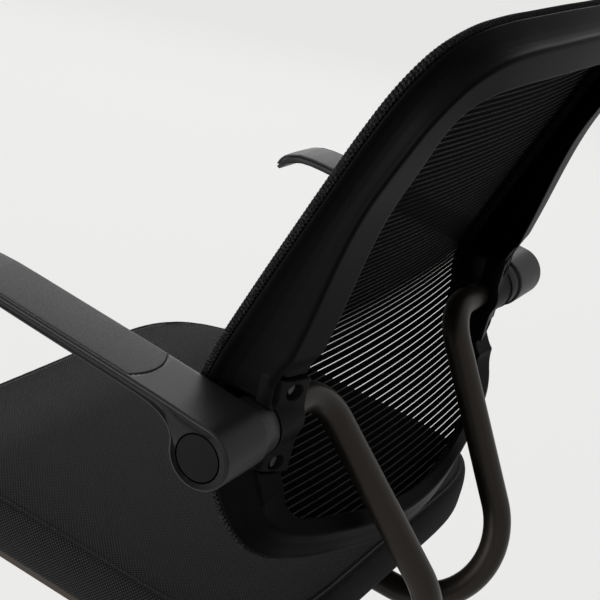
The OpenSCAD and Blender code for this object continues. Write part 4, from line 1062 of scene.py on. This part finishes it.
def moveTo(piece, places):
    piece.data.vertices.foreach_set("co", places.ravel())
    piece.data.update()


def swollen(piece, held, look):
    # cloth under inner pressure with some points held; each move is capped at cap * tanh(move / cap)
    before = placesOf(piece)
    group = piece.vertex_groups.new(name="held")
    group.add(np.unique(held).tolist(), 1.0, "REPLACE")
    cloth = piece.modifiers.new("swell", "CLOTH")
    for key, value in look["cloth"].items():
        setattr(cloth.settings, key, value)
    cloth.settings.vertex_group_mass = "held"
    cloth.settings.effector_weights.gravity = 0.0
    cloth.point_cache.frame_start = 1
    cloth.point_cache.frame_end = look["frames"]
    for number in range(1, look["frames"] + 1):
        scene.frame_set(number)
    move = placesOf(piece.evaluated_get(bpy.context.evaluated_depsgraph_get())) - before
    piece.modifiers.remove(cloth)
    piece.vertex_groups.clear()
    scene.frame_set(1)
    size = np.linalg.norm(move, axis=1, keepdims=True)
    move *= look["cap"] * np.tanh(size / look["cap"]) / np.maximum(size, 1e-9)
    moveTo(piece, before + move)
    return float(size.max())


print("seat cushion")
seatPoints, seatFaces, seatUv, seatHeld, seatLoops = seatMesh()
cushion = meshPiece("seatCushion", seatPoints, seatFaces.tolist(), finishes["seat_fabric"], outward=False)
clothLayer = cushion.data.uv_layers.new(name="cloth")
clothLayer.data.foreach_set("uv", seatUv.astype(np.float32).reshape(-1))
print("seat cushion swelled by", round(swollen(cushion, seatHeld, seat) * 1000, 1), "mm before the cap")


def sewn(piece, loops):
    # the seam lies in a groove; the cloth beside it gathers in small shallow ripples along the seam
    points = placesOf(piece)
    row = seat["seamRow"] - seat["topRing"]
    middle = points[loops[row]]
    along = lengthAlong(middle)
    outward = unit(middle * [1, 1, 0])
    ripple = sum(size * np.sin(along * math.tau / pitch + start) for size, pitch, start in seat["ripples"])
    points[loops[row]] -= outward * seat["seamIn"] + np.array([0, 0, seat["seamDown"]])
    for k, share in ((row - 2, 0.4), (row - 1, 1.0), (row + 1, 1.0), (row + 2, 0.5)):
        points[loops[k]] += outward * (ripple * share)[:, None]
    moveTo(piece, points)


sewn(cushion, seatLoops)
rounder = cushion.modifiers.new("rounder", "SUBSURF")
rounder.levels = rounder.render_levels = 1
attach(cushion, "upper")
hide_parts("seat_cushion")


view = {
    "place": (1.0106, 0.5559, 1.1245),
    "right": (-0.515, 0.827, 0.223),
    "up": (-0.243, -0.391, 0.888),
    "back": (0.822, 0.403, 0.403),
    "lens": 80.26,
}
print("camera and light")
wanted = np.array([view["right"], view["up"], view["back"]]).T
axes, _ = np.linalg.qr(wanted)
axes = axes * np.sign(np.sum(axes * wanted, axis=0))
camera = added("camera", bpy.data.cameras.new("camera"))
camera.data.lens = view["lens"]
camera.data.sensor_width = 36.0
camera.data.clip_start = 0.05
camera.data.clip_end = 60.0
camera.matrix_world = Matrix.Translation(view["place"]) @ Matrix(axes.tolist()).to_4x4()
scene.camera = camera


def softLight(name, place, target, size, power):
    lamp = bpy.data.lights.new(name, "AREA")
    lamp.shape = "RECTANGLE"
    lamp.size, lamp.size_y = size
    lamp.energy = power
    made = added(name, lamp)
    behind = unit(np.array(place, float) - np.array(target, float))
    side = unit(np.cross([0.0, 0.0, 1.0], behind))
    turned = Matrix(np.array([side, np.cross(behind, side), behind]).T.tolist())
    made.matrix_world = Matrix.Translation(place) @ turned.to_4x4()
    made.visible_camera = False


lights = {"frontLight": [(-2.5, -1.8, 1.75), (0.1, 0, 0.65), (2.8, 2.0), 48.0],
          "leftLight": [(2.3, -1.2, 0.95), (0.2, 0.0, 0.8), (1.4, 1.3), 46.0],
          "rearLight": [(-0.8, 2.2, 1.9), (0, 0.2, 0.8), (0.8, 1.2), 2.0]}
for name, look in lights.items():
    softLight(name, *look)


def seenRays(nodes):
    # 1 for the rays that show the background and the floor themselves, 0 for those that light the chair
    rays = nodes.node("LightPath").outputs
    return Val(nodes, rays["Is Camera Ray"]).most(rays["Is Glossy Ray"]).most(rays["Is Transmission Ray"])


studio = {"shown": (0.872, 0.868, 0.860, 1.0), "light": (0.072, 0.072, 0.073, 1.0),
          "floorGlow": (0.93, 0.925, 0.92, 1.0), "glowStrength": 0.95, "glowShare": 0.9, "floorHalf": 9,
          "floorHeight": -0.0005}
world = bpy.data.worlds.new("studio")
scene.world = world
world.use_nodes = True
sky = Nodes(world.node_tree)
shown = sky.node("Mix", {"data_type": "RGBA"},
                 {"Factor": seenRays(sky), 6: studio["light"], 7: studio["shown"]})
sky.feed(sky.tree.nodes["Background"].inputs["Color"], shown.outputs[2])

floorMesh = bpy.data.meshes.new("floor")
half, height = studio["floorHalf"], studio["floorHeight"]
floorMesh.from_pydata([(x * half, y * half, height) for x, y in ((-1, -1), (1, -1), (1, 1), (-1, 1))], [],
                      [(0, 1, 2, 3)])
floor = added("floor", floorMesh)
floorFinish = Finish("paleFloor", Roughness=0.9, Specular_IOR_Level=0.1)
floorFinish.colour(floorFinish.noise(0.6, 2.0), (0.78, 0.77, 0.76), (0.82, 0.815, 0.81))
glow = floorFinish.node("Emission", None, {"Color": studio["floorGlow"], "Strength": studio["glowStrength"]})
mixed = floorFinish.node("MixShader", None, {0: seenRays(floorFinish) * studio["glowShare"],
                                             1: floorFinish.shader.outputs[0], 2: glow.outputs[0]})
floorFinish.feed(floorFinish.tree.nodes["Material Output"].inputs[0], mixed.outputs[0])
floorMesh.materials.append(floorFinish.material)

scene.view_settings.view_transform = "Standard"

print("done")
